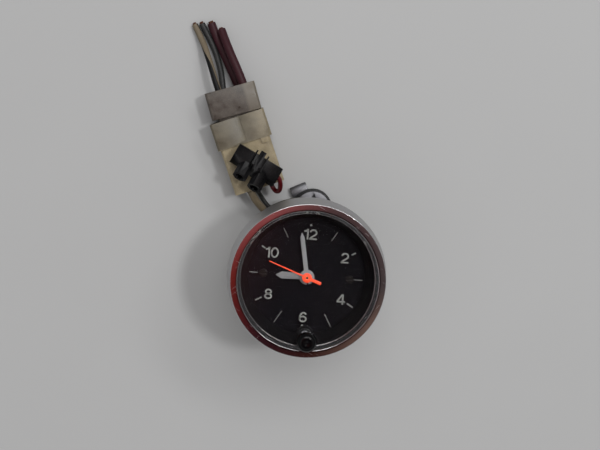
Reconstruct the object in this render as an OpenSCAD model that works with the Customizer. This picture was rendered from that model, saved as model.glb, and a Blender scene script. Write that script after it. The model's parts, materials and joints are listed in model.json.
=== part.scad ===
/* [Bezel] */
// Outside diameter of the bezel at its rear edge
bezel_d = 59.5; // [59:0.5:66]
// Height of the bezel from its panel seat to its crest
bezel_h = 10; // [9.5:0.5:14]
// Sheet thickness of the bezel
bezel_wall = 0.8; // [0.6:0.1:1]
// Outside diameter of the bezel's front face
face_d = 57; // [56.6:0.2:58.4]
// Diameter of the bezel's lip
lip_d = 51.6; // [51.2:0.2:53]
// Diameter of the opening that the lens shows through
window_d = 49.3; // [48:0.1:49.6]
// Depth of the lens below the bezel's crest
lens_depth = 2.6; // [2:0.1:3]

/* [Lens and dial] */
// Thickness of the lens
lens_t = 2; // [1.5:0.1:2.5]
// Thickness of the gasket under the lens
gasket_t = 0.8; // [0.5:0.1:1.2]
// Depth of the dial's face below the bezel's crest
dial_drop = 11.5; // [11:0.5:13]
// Thickness of the dial
dial_t = 0.6; // [0.4:0.1:1]
// Diameter of the dial that shows inside the dial ring
dial_open_d = 44; // [40:0.5:45]
// Distance of the dial screws from the axis
dial_screw_r = 16.2; // [15:0.2:17]
// Head diameter of the dial screws
dial_screw_d = 3; // [2.4:0.2:3.6]

/* [Case] */
// Diameter of the case barrel, which fits a 52 mm panel hole
case_d = 52; // [51:0.5:53]
// Length of the barrel behind the bezel's seat
case_len = 33; // [32:1:44]
// Sheet thickness of the case
case_wall = 0.8; // [0.6:0.1:1]
// Height of the case's rear face above the surface that the clock lies on
rear_reach = 14; // [13:0.5:20]

/* [Hands] */
// Length of the hour hand from the axis
hour_len = 11.6; // [9:0.2:15]
// Width of the hour hand at its shoulder
hour_w = 2.7; // [1.6:0.1:3.2]
// Length of the minute hand from the axis
minute_len = 17; // [14:0.2:19]
// Width of the minute hand
minute_w = 1.6; // [1:0.1:2.2]
// Length of the seconds hand from the axis
seconds_len = 15.4; // [12:0.2:19]
// Length of the seconds hand's tail
seconds_tail = 5.7; // [4:0.1:8]
// Width of the seconds hand's needle
seconds_w = 0.55; // [0.4:0.05:0.9]
// Thickness of the hands
hand_t = 0.3; // [0.2:0.05:0.4]
// Height from one hand to the next
hand_step = 1; // [0.8:0.1:1.2]
// Place of the hour hand, degrees clockwise from 12
hour_at = 269.5; // [0:0.5:359.5]
// Place of the minute hand, degrees clockwise from 12
minute_at = 348.6; // [0:0.1:359.9]
// Place of the seconds hand, degrees clockwise from 12
seconds_at = 289.9; // [0:0.1:359.9]

/* [Setting knob] */
// Diameter of the knob
knob_d = 7.4; // [6:0.1:7.6]
// Height of the knob
knob_h = 5; // [4:0.2:7]
// Diameter of the setting stem
stem_d = 2; // [1.6:0.1:2.2]
// Distance of the stem from the axis
stem_r = 21.9; // [21.6:0.1:22]
// Turn of the stem from 6 towards 5 o'clock, in degrees
stem_turn = 3.2; // [0:0.1:6]
// Travel of the knob when it is pushed
push = 1.8; // [1:0.1:1.8]
// Wire thickness of the return spring
spring_wire = 0.35; // [0.2:0.05:0.4]
// Turns of the return spring
spring_turns = 4; // [3:1:4]

/* [Movement] */
// Thickness of the movement plates
plate_t = 1.2; // [1:0.1:1.6]
// Gap between the movement plates
plate_gap = 14.8; // [14.6:0.1:15.2]
// Room for the motion work between the front plate and the dial
motion_h = 6.7; // [6.6:0.1:7.2]
// Distance of the third arbor from the axis
third_r = 10.2; // [10:0.1:10.6]
// Distance of the rotor from the axis
rotor_r = 11.5; // [11:0.1:12]
// Tooth module of the step wheel and the rotor pinion
step_m = 0.25; // [0.24:0.005:0.26]
// Tooth module of the seconds wheel and the step pinion
seconds_m = 0.42; // [0.415:0.005:0.43]
// Thickness of the wheels
wheel_t = 0.8; // [0.6:0.1:0.9]
// Diameter of the rotor magnet
magnet_d = 6; // [5:0.1:6.2]
// Diameter of the coil's flanges
coil_d = 6.4; // [5:0.1:6.6]
// Length of the coil
coil_len = 15; // [12:0.5:16]

/* [Rear fittings] */
// Thread diameter of the mounting studs
stud_d = 4; // [3:0.5:5]
// Distance between the mounting studs
stud_pitch = 34; // [32:0.5:36]
// Width of the hex nuts across their flats
hex_af = 7; // [6:0.5:8]
// Height of the hex nuts
hex_h = 3.2; // [2.4:0.2:4]
// Diameter of the thumb nuts
thumb_d = 12; // [10:0.5:14]
// Height of the thumb nuts
thumb_h = 5; // [4:0.5:7]
// Distance of the lamp from the axis
lamp_r = 20.8; // [20:0.1:20.9]
// Turn of the lamp from 12 o'clock towards 1, in degrees
lamp_turn = 8.5; // [0:0.5:20]
// Diameter of the lamp holder's barrel
lamp_d = 8; // [7:0.1:8.2]
// Diameter of the lamp holder's steel flange
flange_d = 14; // [11:0.5:15]
// Diameter of the black insulating disc behind the flange
insulator_d = 16; // [13:0.5:17]
// Height of the insulating disc's rear face above the surface
insulator_z = 3.4; // [3.4:0.1:5]

/* [Loom] */
// Width of the socket housing's body
socket_w = 20.6; // [20:0.2:24]
// Width of the socket housing's collar
collar_w = 22.5; // [22:0.5:26]
// Width of the plug housing
plug_w = 20.4; // [19:0.1:22]
// Thickness of the connector over the collar
collar_h = 14; // [13.6:0.2:16]
// Length of the socket's body, from its wire end to the collar
socket_len = 19; // [17:0.5:24]
// Length of the collar
collar_len = 11; // [10:0.5:14]
// Length of the plug that shows past the collar
plug_len = 11.4; // [10:0.2:16]
// Length of one black terminal cover
cover_len = 9.8; // [8:0.2:11]
// Height of the black terminal covers
cover_h = 6; // [5.6:0.2:8]
// Width of the black terminal covers
cover_w = 7.2; // [5:0.2:8]
// Diameter of the covers' wire barrels
barrel_d = 5.6; // [4:0.2:5.6]
// Diameter of the cream supply wire
supply_d = 3; // [2:0.1:3.2]
// Diameter of the black lamp wire
lamp_wire_d = 1.8; // [1.2:0.1:2]
// Diameter of the red jumper wire
jumper_d = 1.9; // [1.2:0.1:2]
// Diameter of the two thin pigtail wires
thin_d = 2.5; // [1.6:0.1:2.6]
// Diameter of the two thick pigtail wires
thick_d = 3.4; // [2.4:0.1:3.4]

/* [Hidden] */
$fn = 72;

// clearances
run = 0.1;
press = 0.02;
slip = 0.35;
seat = 0.05;

// heights, from the surface that the clock lies on
seat_z = rear_reach + case_len;
crest_z = seat_z + bezel_h;
lens_top = crest_z - lens_depth;
lens_bot = lens_top - lens_t;
ring_top = lens_bot - gasket_t;
flange_bot = seat_z + bezel_wall;
flange_top = flange_bot + case_wall;
dial_top = crest_z - dial_drop;
dial_bot = dial_top - dial_t;
front_top = dial_bot - motion_h;
front_bot = front_top - plate_t;
back_top = front_bot - plate_gap;
back_bot = back_top - plate_t;
rear_in = rear_reach + case_wall;

// radii about the clock's axis
bezel_r = bezel_d / 2;
face_r = face_d / 2;
lip_r = lip_d / 2;
window_r = window_d / 2;
case_r = case_d / 2;
case_in_r = case_r - case_wall;
stack_r = face_r - bezel_wall - slip;
plate_r = case_in_r - slip;
dial_r = case_in_r - slip;

// bezel profile
edge_r = 0.4;
lip_edge_r = 0.3;
face_rise = 0.02;

// tooth counts of the going train, the motion work and the setting train
rotor_n = 8;
step_n = 48;
step_pinion_n = 8;
seconds_n = 40;
seconds_pinion_n = 8;
third_n = 60;
third_pinion_n = 8;
centre_n = 64;
cannon_n = 10;
minute_n = 30;
minute_pinion_n = 8;
hour_n = 32;
idler_n = 32;
set_n = 12;

// tooth outlines: share of a pitch across, share of a module out from the pitch circle
WHEEL_TOOTH = [[-0.25, -1.25], [-0.09, 0.95], [0.09, 0.95], [0.25, -1.25]];
LEAF_TOOTH = [[-0.2, -1.25], [-0.17, 0], [-0.06, 0.85], [0.06, 0.85], [0.17, 0], [0.2, -1.25]];

// modules and places that follow from the tooth counts
third_m = 2 * third_r / (seconds_pinion_n + third_n);
centre_m = 2 * third_r / (third_pinion_n + centre_n);
motion_m = 2 * stem_r / (cannon_n + 2 * minute_n + 2 * idler_n + set_n);
step_r = seconds_m * (step_pinion_n + seconds_n) / 2;
rotor_step = step_m * (rotor_n + step_n) / 2;
step_cos = (rotor_r * rotor_r + step_r * step_r - rotor_step * rotor_step) / (2 * rotor_r * step_r);
step_turn = 180 - acos(step_cos);
third_turn = -30;
set_dir = -90 + stem_turn;
minute_wheel_r = motion_m * (cannon_n + minute_n) / 2;
idler_r = minute_wheel_r + motion_m * (minute_n + idler_n) / 2;
rotor_at = [-rotor_r, 0];
step_at = polar(step_r, step_turn);
third_at = polar(third_r, third_turn);
minute_wheel_at = polar(minute_wheel_r, set_dir);
idler_at = polar(idler_r, set_dir);
stem_at = polar(stem_r, set_dir);
rotor_dir = atan2(rotor_at[1] - step_at[1], rotor_at[0] - step_at[0]);

// tooth phases, each wheel in mesh with the one before it
step_pinion_phase = mate(seconds_n, step_pinion_n, step_turn, 0);
rotor_phase = mate(step_n, rotor_n, rotor_dir, 0);
third_phase = mate(seconds_pinion_n, third_n, third_turn, 0);
centre_phase = mate(third_pinion_n, centre_n, third_turn + 180, 0);
minute_phase = mate(cannon_n, minute_n, set_dir, 0);
hour_phase = mate(minute_pinion_n, hour_n, set_dir + 180, 0);
idler_phase = mate(minute_n, idler_n, set_dir, minute_phase);
set_phase = mate(idler_n, set_n, set_dir, idler_phase);

// arbors and tubes
arbor_r = 0.5;
pivot_r = 0.4;
pivot_len = 0.9;
tube_in_r = arbor_r + run;
tube_r = tube_in_r + 0.45;
pipe_in_r = tube_r + run;
pipe_r = pipe_in_r + 0.5;
post_r = 0.6;
dial_hole_r = pipe_r + 0.5;

// heights of the train above the back plate
stator_z = back_top + 2;
stator_t = 1.6;
core_z = stator_z + stator_t;
magnet_z = back_top + 1.4;
magnet_h = 2.8;
rotor_pinion_z = back_top + 4.8;
step_z = back_top + 5.4;
step_pinion_z = back_top + 7;
seconds_z = back_top + 7.8;
seconds_pinion_z = back_top + 9.2;
third_z = back_top + 9.8;
third_pinion_z = back_top + 11.4;
centre_z = back_top + 12.2;
pinion_h = 2;
long_pinion_h = 2.4;

// heights of the motion work above the front plate
cannon_z = front_top + 1;
cannon_h = 1.6;
wheel_rise = 1.4;
motion_z = front_top + wheel_rise;
minute_pinion_h = 2.6;
hour_z = front_top + 3.6;
set_face_z = front_top + 3;

// hands
hour_z0 = dial_top + hand_step;
minute_z0 = hour_z0 + hand_step;
seconds_z0 = minute_z0 + hand_step;
hub_h = 0.9;
hub_r = 1.8;
boss_r = 2.8;

// setting stem, from the knob down to its clutch
knob_bot = lens_top + push + 0.3;
knob_top = knob_bot + knob_h;
clutch_t = 1;
clutch_z = set_face_z + push + seat;
bush_bot = clutch_z + clutch_t + seat;
boss_top = dial_top + 1.6;
stem_boss_r = 3;
bush_r = stem_d / 2 + 0.7;
bush_flange_t = 0.5;
spring_bot = boss_top + bush_flange_t + seat;
collar_t = 0.6;
collar_z = lens_bot - 0.3 - collar_t;
spring_top = collar_z - seat;
spring_mean_r = stem_d / 2 + spring_wire / 2 + 0.3;

// movement furniture
pillar_r = 2;
spigot_r = 1.2;
pillar_ring = 21;
pillar_turns = [50, 130, 250];
dial_post_r = 2;
dial_screw_shank = 0.8;
coil_gap = 7.8;
coil_at_x = -rotor_r - coil_gap;
core_half = coil_len / 2 + 4.5;
tab_w = 4;
tab_y = core_half - tab_w / 2;
pole_w = 8.4;
air_gap = 0.5;
core_w = 3;
clamp_r = 0.9;
bobbin_t = 0.8;
bobbin_r = 2.1;
board_t = 1.2;
board_drop = 2.2;
board_top = back_bot - board_drop;
board_edge_y = -6;
board_post_x = 9;
board_post_y = -14;
board_r = plate_r - 2.5;
crystal_r = 1;
crystal_len = 6;

// rear fittings
stud_end = 0.5;
shoulder_r = stud_d / 2 + 1;
stud_spigot_r = stud_d / 2 - 0.4;
lamp_at = polar(lamp_r, 90 - lamp_turn);
lamp_wall = 0.4;
insulator_t = 1.6;
lamp_flange_z = insulator_z + insulator_t;
lamp_flange_t = 0.8;
lamp_top = rear_in + 5;
insulator_boss_r = 4.2;
cap_h = 9;
bulb_h = 14;
bulb_seat_z = lamp_top - cap_h - 0.8;
cap_r = lamp_d / 2 - lamp_wall - run;
lamp_wire_z = 2;
terminal_at = [-2.3, 26.1];
terminal_turn = 27;
terminal_len = 7;
terminal_r = 1.6;
grommet_at = [-11, 9];
grommet_lip = 1;
grommet_neck = supply_d / 2 + 1.1;

// the loom lies in a frame of its own, turned about the clock, with Y along the connector
loom_at = [-19.5, 28, 0];
loom_turn = 23;
step_h = 0.6;
column_x = 4.8;
row_low = 3.8;
row_high = collar_h - 3.8;
cell_w = 7.4;
cell_h = 5.4;
cell_depth = 12;
collar_end = socket_len + collar_len;
plug_gap = 0.2;
plug_skew = 2.9;
plug_shift = 0.4;
nose_play = 1;
plug_bot = collar_end + plug_gap;
plug_end = collar_end + plug_len;
nose_in = 9;
latch_x = 6.4;
latch_w = 3;
latch_len = 2.2;
wall_in = 2;
cover_at = [1.8, 9.8];
cover_turn = -49;
cover_barrel_x = 3.5;
cover_wire_z = 3;
cover_lean = 32;
cover_rib = 0.9;
cover_axis_z = (cover_w / 2 + cover_rib) * sin(cover_lean) + cover_wire_z * cos(cover_lean) + seat;
crimp_len = 3;

// routes of the wires in the loom's frame, chosen by hand
SUPPLY_ROUTE = [
    [0.4, -20.8, 16.5], [0.4, -20.8, 14], [0.4, -20.8, 11.4], [0.4, -20, 8.6], [0.4, -18, 6.9],
    [0.1, -15.4, 6.1], [-0.6, -12.4, 6.1], [-1.7, -9.4, 6.7], [-2.8, -6.4, 7.7], [-3.6, -3.5, 9],
    [-4, -1, 9.9], [-4.1, 1.4, 10.2], [-4.1, 4.4, 10.2], [-4.1, 8, 10.2]
];
LAMP_ROUTE = [
    [15.7, -14.7, 2], [14, -14, 2], [11.2, -13.3, 1.7], [8.2, -13, 1.2], [5, -12.8, 1],
    [2.4, -11.9, 1], [0.6, -9.7, 1], [-0.4, -7, 1.1], [-1, -4.4, 1.6], [-1.6, -2, 2.7],
    [-2.3, 0.3, 3.5], [-2.6, 3.4, 3.8], [-2.7, 8, 3.8]
];
JUMPER_ROUTE = [
    [5.3, 5.8, 18.4], [6.6, 4.3, 18.4], [8, 2.7, 18.4], [8.5, 1.4, 18.1], [8.4, -0.1, 17.2],
    [8, -1.6, 15.8], [7.4, -2.9, 14.2], [6.6, -3.6, 12.6], [5.7, -3.4, 11.3], [5.1, -2.3, 10.5],
    [4.8, -0.7, 10.2], [4.8, 1.4, 10.2], [4.8, 4, 10.2], [4.8, 8, 10.2]
];
WHITE_ROUTE = [
    [-3.8, 34.3, 10.2], [-3.7, 37.4, 10.2], [-3.6, 41.4, 10.2], [-3.6, 45, 10], [-3.5, 49, 9.2],
    [-3.4, 53, 7.9], [-3.4, 57, 6.2], [-3.5, 61, 4.3], [-4, 65.5, 2.5], [-4.6, 70.6, 1.4]
];
GREY_ROUTE = [
    [-2.6, 34.2, 3.8], [-2.4, 37.4, 3.8], [-2, 41.4, 3.8], [-1.2, 45, 3.6], [-0.5, 49, 3],
    [-0.2, 53, 2.3], [-0.2, 57, 1.7], [-0.5, 61, 1.4], [-1.1, 65, 1.3], [-1.8, 70.2, 1.3]
];
PLUM_LOW_ROUTE = [
    [4.4, 33.9, 3.8], [4.4, 37.4, 3.8], [4.3, 41.4, 3.8], [4, 45, 3.7], [3.6, 49, 3.3],
    [3.2, 53, 2.7], [2.8, 57, 2.2], [2.4, 61, 1.9], [2.1, 65, 1.8], [1.9, 69.2, 1.8]
];
PLUM_HIGH_ROUTE = [
    [6.6, 33.8, 10.2], [6.6, 37.4, 10.2], [6.6, 41.4, 10.2], [6.4, 45, 10.1], [6.1, 49, 9.6],
    [5.7, 53, 8.7], [5.4, 57, 7.4], [5.2, 60.5, 6], [5.1, 63, 4.9], [5, 65.2, 4.1]
];

// point at a radius and a turn
function polar(r, turn) = r * [cos(turn), sin(turn)];

// phase of the second wheel when its gap faces a tooth of the first, which lies the other way along dir
function mate(n_a, n_b, dir, phase_a) = dir + 180 + ((dir - phase_a) * n_a - 180) / n_b;

// points of a toothed outline
function toothed_outline(n, m, tooth, phase) = [
    for (i = [0 : n - 1])
        for (p = tooth)
            polar(m * (n / 2 + p[1]), (i + p[0]) * 360 / n + phase)
];

// points on an ellipse, from one turn to another
function arc(c, rx, ry, from, to, steps) = [
    for (i = [0 : steps])
        let (a = from + (to - from) * i / steps)
            [c[0] + rx * cos(a), c[1] + ry * sin(a)]
];

// unit vector
function unit(v) = v / norm(v);

// direction of a route at one of its points
function heading(route, i) = unit(route[min(i + 1, len(route) - 1)] - route[max(i - 1, 0)]);

// one ring of points round a route
function ring(route, i, r, sides, ref) =
    let (t = heading(route, i), u = unit(cross(t, ref)), v = cross(t, u))
        [for (k = [0 : sides - 1]) route[i] + r * (cos(360 * k / sides) * u + sin(360 * k / sides) * v)];

// points of the return spring's centre line
function spring_line(rings) = [
    for (i = [0 : rings])
        let (a = 360 * spring_turns * i / rings, z0 = spring_bot + spring_wire / 2)
            let (rise = spring_top - spring_bot - spring_wire)
                [spring_mean_r * cos(a), spring_mean_r * sin(a), z0 + rise * i / rings]
];

// a closed tube swept along a route
module swept(route, d, sides = 8, ref = [0, 0, 1]) {
    n = len(route);
    points = [for (i = [0 : n - 1]) each ring(route, i, d / 2, sides, ref)];
    walls = [
        for (i = [0 : n - 2])
            for (k = [0 : sides - 1])
                let (a = i * sides + k, b = i * sides + (k + 1) % sides)
                    each [[a, a + sides, b], [b, a + sides, b + sides]]
    ];
    near_end = [for (k = [1 : sides - 2]) [0, k, k + 1]];
    last = (n - 1) * sides;
    far_end = [for (k = [1 : sides - 2]) [last, last + k + 1, last + k]];
    polyhedron(points = points, faces = [each walls, each near_end, each far_end]);
}

// a shape at a place on the plan, lifted to a height
module place(at, z = 0) {
    translate([at[0], at[1], z]) children();
}

// a round hole right through a plate
module through(at, z, t, r) {
    place(at, z - 1) cylinder(r = r, h = t + 2);
}

// a shape on each side of the axis, along X
module pair(x) {
    for (s = [-1, 1]) translate([s * x, 0, 0]) children();
}

// a toothed wheel or pinion
module toothed(n, m, tooth, h, phase) {
    linear_extrude(height = h) polygon(toothed_outline(n, m, tooth, phase));
}

// lightening holes round a wheel
module wheel_holes(count, ring_r, hole_r, z) {
    for (i = [0 : count - 1]) through(polar(ring_r, (i + 0.5) * 360 / count), z, wheel_t, hole_r);
}

// an arbor with a pivot in each plate
module arbor(z0, z1) {
    translate([0, 0, z0]) cylinder(r = arbor_r, h = z1 - z0);
    translate([0, 0, z0 - pivot_len]) cylinder(r = pivot_r, h = z1 - z0 + 2 * pivot_len);
}

// a prism along Y of a box outline with cut corners, from one place to another
module chamfered_bar(w, z0, z1, y0, y1, cut) {
    h = w / 2;
    outline = [
        [-h + cut, z0], [h - cut, z0], [h, z0 + cut], [h, z1 - cut],
        [h - cut, z1], [-h + cut, z1], [-h, z1 - cut], [-h, z0 + cut]
    ];
    translate([0, y1, 0]) rotate([90, 0, 0]) linear_extrude(height = y1 - y0) polygon(outline);
}

// places of what belongs to the loom, and of the black covers on it
module loom() {
    translate(loom_at) rotate([0, 0, loom_turn]) children();
}

// the plug sits askew in the socket, turned about the corner next to the collar
module plugged() {
    loom() translate([plug_w / 2 + plug_shift, plug_bot, 0]) rotate([0, 0, -plug_skew])
        translate([-plug_w / 2, -plug_bot, 0]) children();
}
module covers() {
    loom() translate([cover_at[0], cover_at[1], collar_h - step_h + cover_axis_z])
        rotate([-cover_lean, 0, cover_turn]) translate([0, 0, -cover_wire_z]) children();
}

// chromed bezel: a leaning side, a slightly domed face, a conical lip inside and a crimped edge behind
module bezel() {
    edge_z = bezel_h - face_rise - edge_r;
    lip_z = bezel_h - face_rise - lip_edge_r;
    under_z = bezel_h - face_rise - bezel_wall;
    crest_r = (face_r - edge_r + lip_r + lip_edge_r) / 2;
    half_face = (face_r - edge_r - lip_r - lip_edge_r) / 2;
    edge = arc([face_r - edge_r, edge_z], edge_r, edge_r, 0, 90, 6);
    crown = arc([crest_r, bezel_h - face_rise], half_face, face_rise, 30, 150, 4);
    lip = arc([lip_r + lip_edge_r, lip_z], lip_edge_r, lip_edge_r, 90, 180, 5);
    lip_foot = [[window_r, bezel_h - lens_depth], [window_r + bezel_wall, bezel_h - lens_depth]];
    under_face = [[lip_r + bezel_wall, under_z], [face_r - bezel_wall, under_z]];
    skirt = [[bezel_r - bezel_wall, bezel_wall], [case_r + slip, bezel_wall]];
    crimp = [[case_r + slip, 0], [bezel_r, 0], [bezel_r, bezel_wall]];
    outline = concat(edge, crown, lip, lip_foot, under_face, skirt, crimp);
    color("silver") translate([0, 0, seat_z]) rotate_extrude($fn = 180) polygon(outline);
}

// flat glass with a hole for the stem
module lens() {
    color([0.8, 0.85, 0.85, 0.35]) difference() {
        translate([0, 0, lens_bot]) cylinder(r = stack_r, h = lens_t, $fn = 144);
        through(stem_at, lens_bot, lens_t, stem_d / 2 + 0.5);
    }
}

module lens_gasket() {
    color("dimgray") translate([0, 0, ring_top]) rotate_extrude($fn = 144)
        translate([window_r + 0.3, 0]) square([stack_r - window_r - 0.3, gasket_t]);
}

// black cone between lens and dial, with a boss for the stem's bush
module dial_ring() {
    outline = [
        [dial_open_d / 2, dial_top], [dial_r, dial_top], [dial_r, flange_top],
        [stack_r, flange_top], [stack_r, ring_top], [window_r, ring_top]
    ];
    color("black") difference() {
        union() {
            rotate_extrude($fn = 144) polygon(outline);
            place(stem_at, dial_top) cylinder(r = stem_boss_r, h = boss_top - dial_top);
        }
        through(stem_at, dial_top, boss_top - dial_top, bush_r + press);
        place(stem_at, boss_top) cylinder(r = stem_boss_r, h = crest_z - boss_top);
    }
}

module dial() {
    color([0.05, 0.05, 0.05]) difference() {
        translate([0, 0, dial_bot]) cylinder(r = dial_r, h = dial_t, $fn = 144);
        through([0, 0], dial_bot, dial_t, dial_hole_r);
        through(stem_at, dial_bot, dial_t, bush_r + press);
        pair(dial_screw_r) through([0, 0], dial_bot, dial_t, dial_screw_shank + press);
    }
}

// two slotted screws that hold the dial
module dial_screws() {
    head_h = 0.7;
    shank_h = 4;
    color("saddlebrown") pair(dial_screw_r) difference() {
        union() {
            translate([0, 0, dial_top]) cylinder(d = dial_screw_d, h = head_h);
            translate([0, 0, dial_top - shank_h]) cylinder(r = dial_screw_shank, h = shank_h);
        }
        translate([0, 0, dial_top + head_h]) cube([dial_screw_d + 1, 0.5, 0.7], center = true);
    }
}

// deep drawn cup: barrel, rear wall with its holes, and the flange that the bezel is crimped on
module case_can() {
    corner = 1.5;
    neck_z = seat_z - 0.3;
    neck_r = case_r - 0.4;
    middle = [case_r - corner, rear_reach + corner];
    inside = corner - case_wall;
    outer_corner = arc(middle, corner, corner, -90, 0, 6);
    inner_corner = arc(middle, inside, inside, 0, -90, 6);
    outline = concat(
        [[0, rear_reach]], outer_corner,
        [[case_r, neck_z], [neck_r, neck_z], [neck_r, flange_bot]],
        [[stack_r, flange_bot], [stack_r, flange_top], [case_in_r, flange_top]],
        inner_corner, [[0, rear_in]]
    );
    color("darkkhaki") difference() {
        rotate_extrude($fn = 144) polygon(outline);
        pair(stud_pitch / 2) through([0, 0], rear_reach, case_wall, stud_d / 2 + run);
        through(lamp_at, rear_reach, case_wall, lamp_d / 2 + run);
        through(grommet_at, rear_reach, case_wall, grommet_neck + press);
    }
}

// two stepped studs: riveted in the back plate, shouldered on the rear wall and threaded behind it
module mount_studs() {
    outline = [
        [0, stud_end], [stud_d / 2 - 0.4, stud_end], [stud_d / 2, stud_end + 0.4], [stud_d / 2, rear_in],
        [shoulder_r, rear_in], [shoulder_r, back_bot], [stud_spigot_r, back_bot], [stud_spigot_r, back_top],
        [0, back_top]
    ];
    color("lightgray") pair(stud_pitch / 2) rotate_extrude($fn = 48) polygon(outline);
}

// two hex nuts that clamp the case to the studs
module stud_nuts() {
    color("silver") pair(stud_pitch / 2) difference() {
        translate([0, 0, rear_reach - hex_h]) cylinder(d = hex_af / cos(30), h = hex_h, $fn = 6);
        through([0, 0], rear_reach - hex_h, hex_h, stud_d / 2 + press);
    }
}

// two fluted thumb nuts at the ends of the studs
module thumb_nuts() {
    flutes = 30;
    grip_h = thumb_h - 1.2;
    outline = [for (i = [0 : 2 * flutes - 1]) polar(thumb_d / 2 - (i % 2) * 0.4, i * 180 / flutes)];
    color("gainsboro") pair(stud_pitch / 2) difference() {
        union() {
            linear_extrude(height = grip_h) polygon(outline);
            cylinder(d = thumb_d - 3, h = thumb_h);
        }
        through([0, 0], 0, thumb_h, stud_d / 2 + press);
    }
}

// rear movement plate with pivots, stud holes and a notch for the lamp
module back_plate() {
    color("goldenrod") difference() {
        translate([0, 0, back_bot]) cylinder(r = plate_r, h = plate_t, $fn = 144);
        through(lamp_at, back_bot, plate_t, lamp_d / 2 + 1);
        place(lamp_at, back_bot - 1) rotate([0, 0, -lamp_turn])
            translate([-lamp_d / 2 - 1, 0, 0]) cube([lamp_d + 2, lamp_d + 2, plate_t + 2]);
        pair(stud_pitch / 2) through([0, 0], back_bot, plate_t, stud_spigot_r + press);
        for (p = [[0, 0], rotor_at, step_at, third_at]) through(p, back_bot, plate_t, pivot_r + run);
        for (t = pillar_turns) through(polar(pillar_ring, t), back_bot, plate_t, spigot_r + press);
    }
}

// front movement plate with a window for the lamp's light
module front_plate() {
    color("goldenrod") difference() {
        translate([0, 0, front_bot]) cylinder(r = plate_r, h = plate_t, $fn = 144);
        through(lamp_at, front_bot, plate_t, plate_r - lamp_r - 0.6);
        through([0, 0], front_bot, plate_t, tube_r + run);
        for (p = [rotor_at, step_at, third_at]) through(p, front_bot, plate_t, pivot_r + run);
        for (t = pillar_turns) through(polar(pillar_ring, t), front_bot, plate_t, spigot_r + press);
    }
}

// three pillars riveted in both plates
module plate_pillars() {
    color("gold") for (t = pillar_turns) place(polar(pillar_ring, t)) {
        translate([0, 0, back_top]) cylinder(r = pillar_r, h = plate_gap);
        translate([0, 0, back_bot]) cylinder(r = spigot_r, h = plate_gap + 2 * plate_t);
    }
}

// posts on the front plate: two for the dial, then the minute wheel's, the idler's and the setting pinion's
module front_posts() {
    color("gold") {
        pair(dial_screw_r) translate([0, 0, front_top]) difference() {
            cylinder(r = dial_post_r, h = motion_h);
            translate([0, 0, 1]) cylinder(r = dial_screw_shank + press, h = motion_h);
        }
        place(minute_wheel_at, front_top) cylinder(r = post_r, h = wheel_rise + wheel_t + minute_pinion_h);
        place(idler_at, front_top) cylinder(r = post_r, h = wheel_rise + wheel_t + 0.6);
        place(stem_at, front_top) cylinder(r = post_r, h = set_face_z - front_top - 0.2);
    }
}

// posts on the back plate: two stepped ones that clamp stator and core, and two for the circuit board
module rear_posts() {
    foot_r = 1.8;
    head_r = 1.5;
    head_h = 1;
    top = core_z + stator_t;
    outline = [
        [0, back_top], [foot_r, back_top], [foot_r, stator_z], [clamp_r, stator_z],
        [clamp_r, top], [head_r, top], [head_r, top + head_h], [0, top + head_h]
    ];
    color("silver") {
        for (s = [-1, 1]) place([coil_at_x, s * tab_y]) rotate_extrude($fn = 36) polygon(outline);
        pair(board_post_x) place([0, board_post_y], board_top) cylinder(r = 1.5, h = board_drop);
    }
}

// soft iron stator: a pole bar round the rotor and a tab at each end under the coil's core
module stator() {
    color("slategray") difference() {
        translate([0, 0, stator_z]) linear_extrude(height = stator_t) difference() {
            union() {
                translate([-rotor_r - pole_w / 2, -core_half]) square([pole_w, 2 * core_half]);
                for (s = [-1, 1]) translate([coil_at_x - core_w / 2, s * tab_y - tab_w / 2])
                    square([coil_gap + core_w / 2, tab_w]);
            }
            for (s = [-1, 1]) translate([-rotor_r + s * pole_w / 2, 0]) circle(d = 0.6);
        }
        place(rotor_at, stator_z - 1) cylinder(r = magnet_d / 2 + air_gap, h = stator_t + 2);
        for (s = [-1, 1]) through([coil_at_x, s * tab_y], stator_z, stator_t, clamp_r + press);
        through(step_at, stator_z, stator_t, arbor_r + air_gap);
    }
}

// flat core through the coil
module coil_core() {
    color("slategray") difference() {
        translate([coil_at_x - core_w / 2, -core_half, core_z]) cube([core_w, 2 * core_half, stator_t]);
        for (s = [-1, 1]) through([coil_at_x, s * tab_y], core_z, stator_t, clamp_r + press);
    }
}

// flanged former on the core
module coil_bobbin() {
    color("ivory") place([coil_at_x, 0], core_z + stator_t / 2) rotate([90, 0, 0]) difference() {
        union() {
            cylinder(r = bobbin_r, h = coil_len, center = true);
            translate([0, 0, -coil_len / 2]) cylinder(d = coil_d, h = bobbin_t);
            translate([0, 0, coil_len / 2 - bobbin_t]) cylinder(d = coil_d, h = bobbin_t);
        }
        cube([core_w + 2 * press, stator_t + 2 * press, coil_len + 2], center = true);
    }
}

// enamelled winding between the flanges
module coil_winding() {
    color("chocolate") place([coil_at_x, 0], core_z + stator_t / 2) rotate([90, 0, 0]) difference() {
        cylinder(d = coil_d - 0.8, h = coil_len - 2 * bobbin_t - 2 * press, center = true);
        cylinder(r = bobbin_r + press, h = coil_len, center = true);
    }
}

// board behind the back plate, cut to the case
module circuit_board() {
    color("darkolivegreen") translate([0, 0, board_top - board_t]) intersection() {
        cylinder(r = board_r, h = board_t, $fn = 96);
        translate([-board_r, -board_r, -1]) cube([2 * board_r, board_r + board_edge_y, board_t + 2]);
    }
}

// crystal can lying under the board
module timing_crystal() {
    color("silver") translate([0, board_post_y, board_top - board_t - crystal_r]) rotate([0, 90, 0])
        cylinder(r = crystal_r, h = crystal_len, center = true);
}

// two pole magnet on the rotor arbor
module rotor_magnet() {
    color("dimgray") place(rotor_at, magnet_z) difference() {
        cylinder(d = magnet_d, h = magnet_h);
        through([0, 0], 0, magnet_h, arbor_r + press);
    }
}

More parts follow.
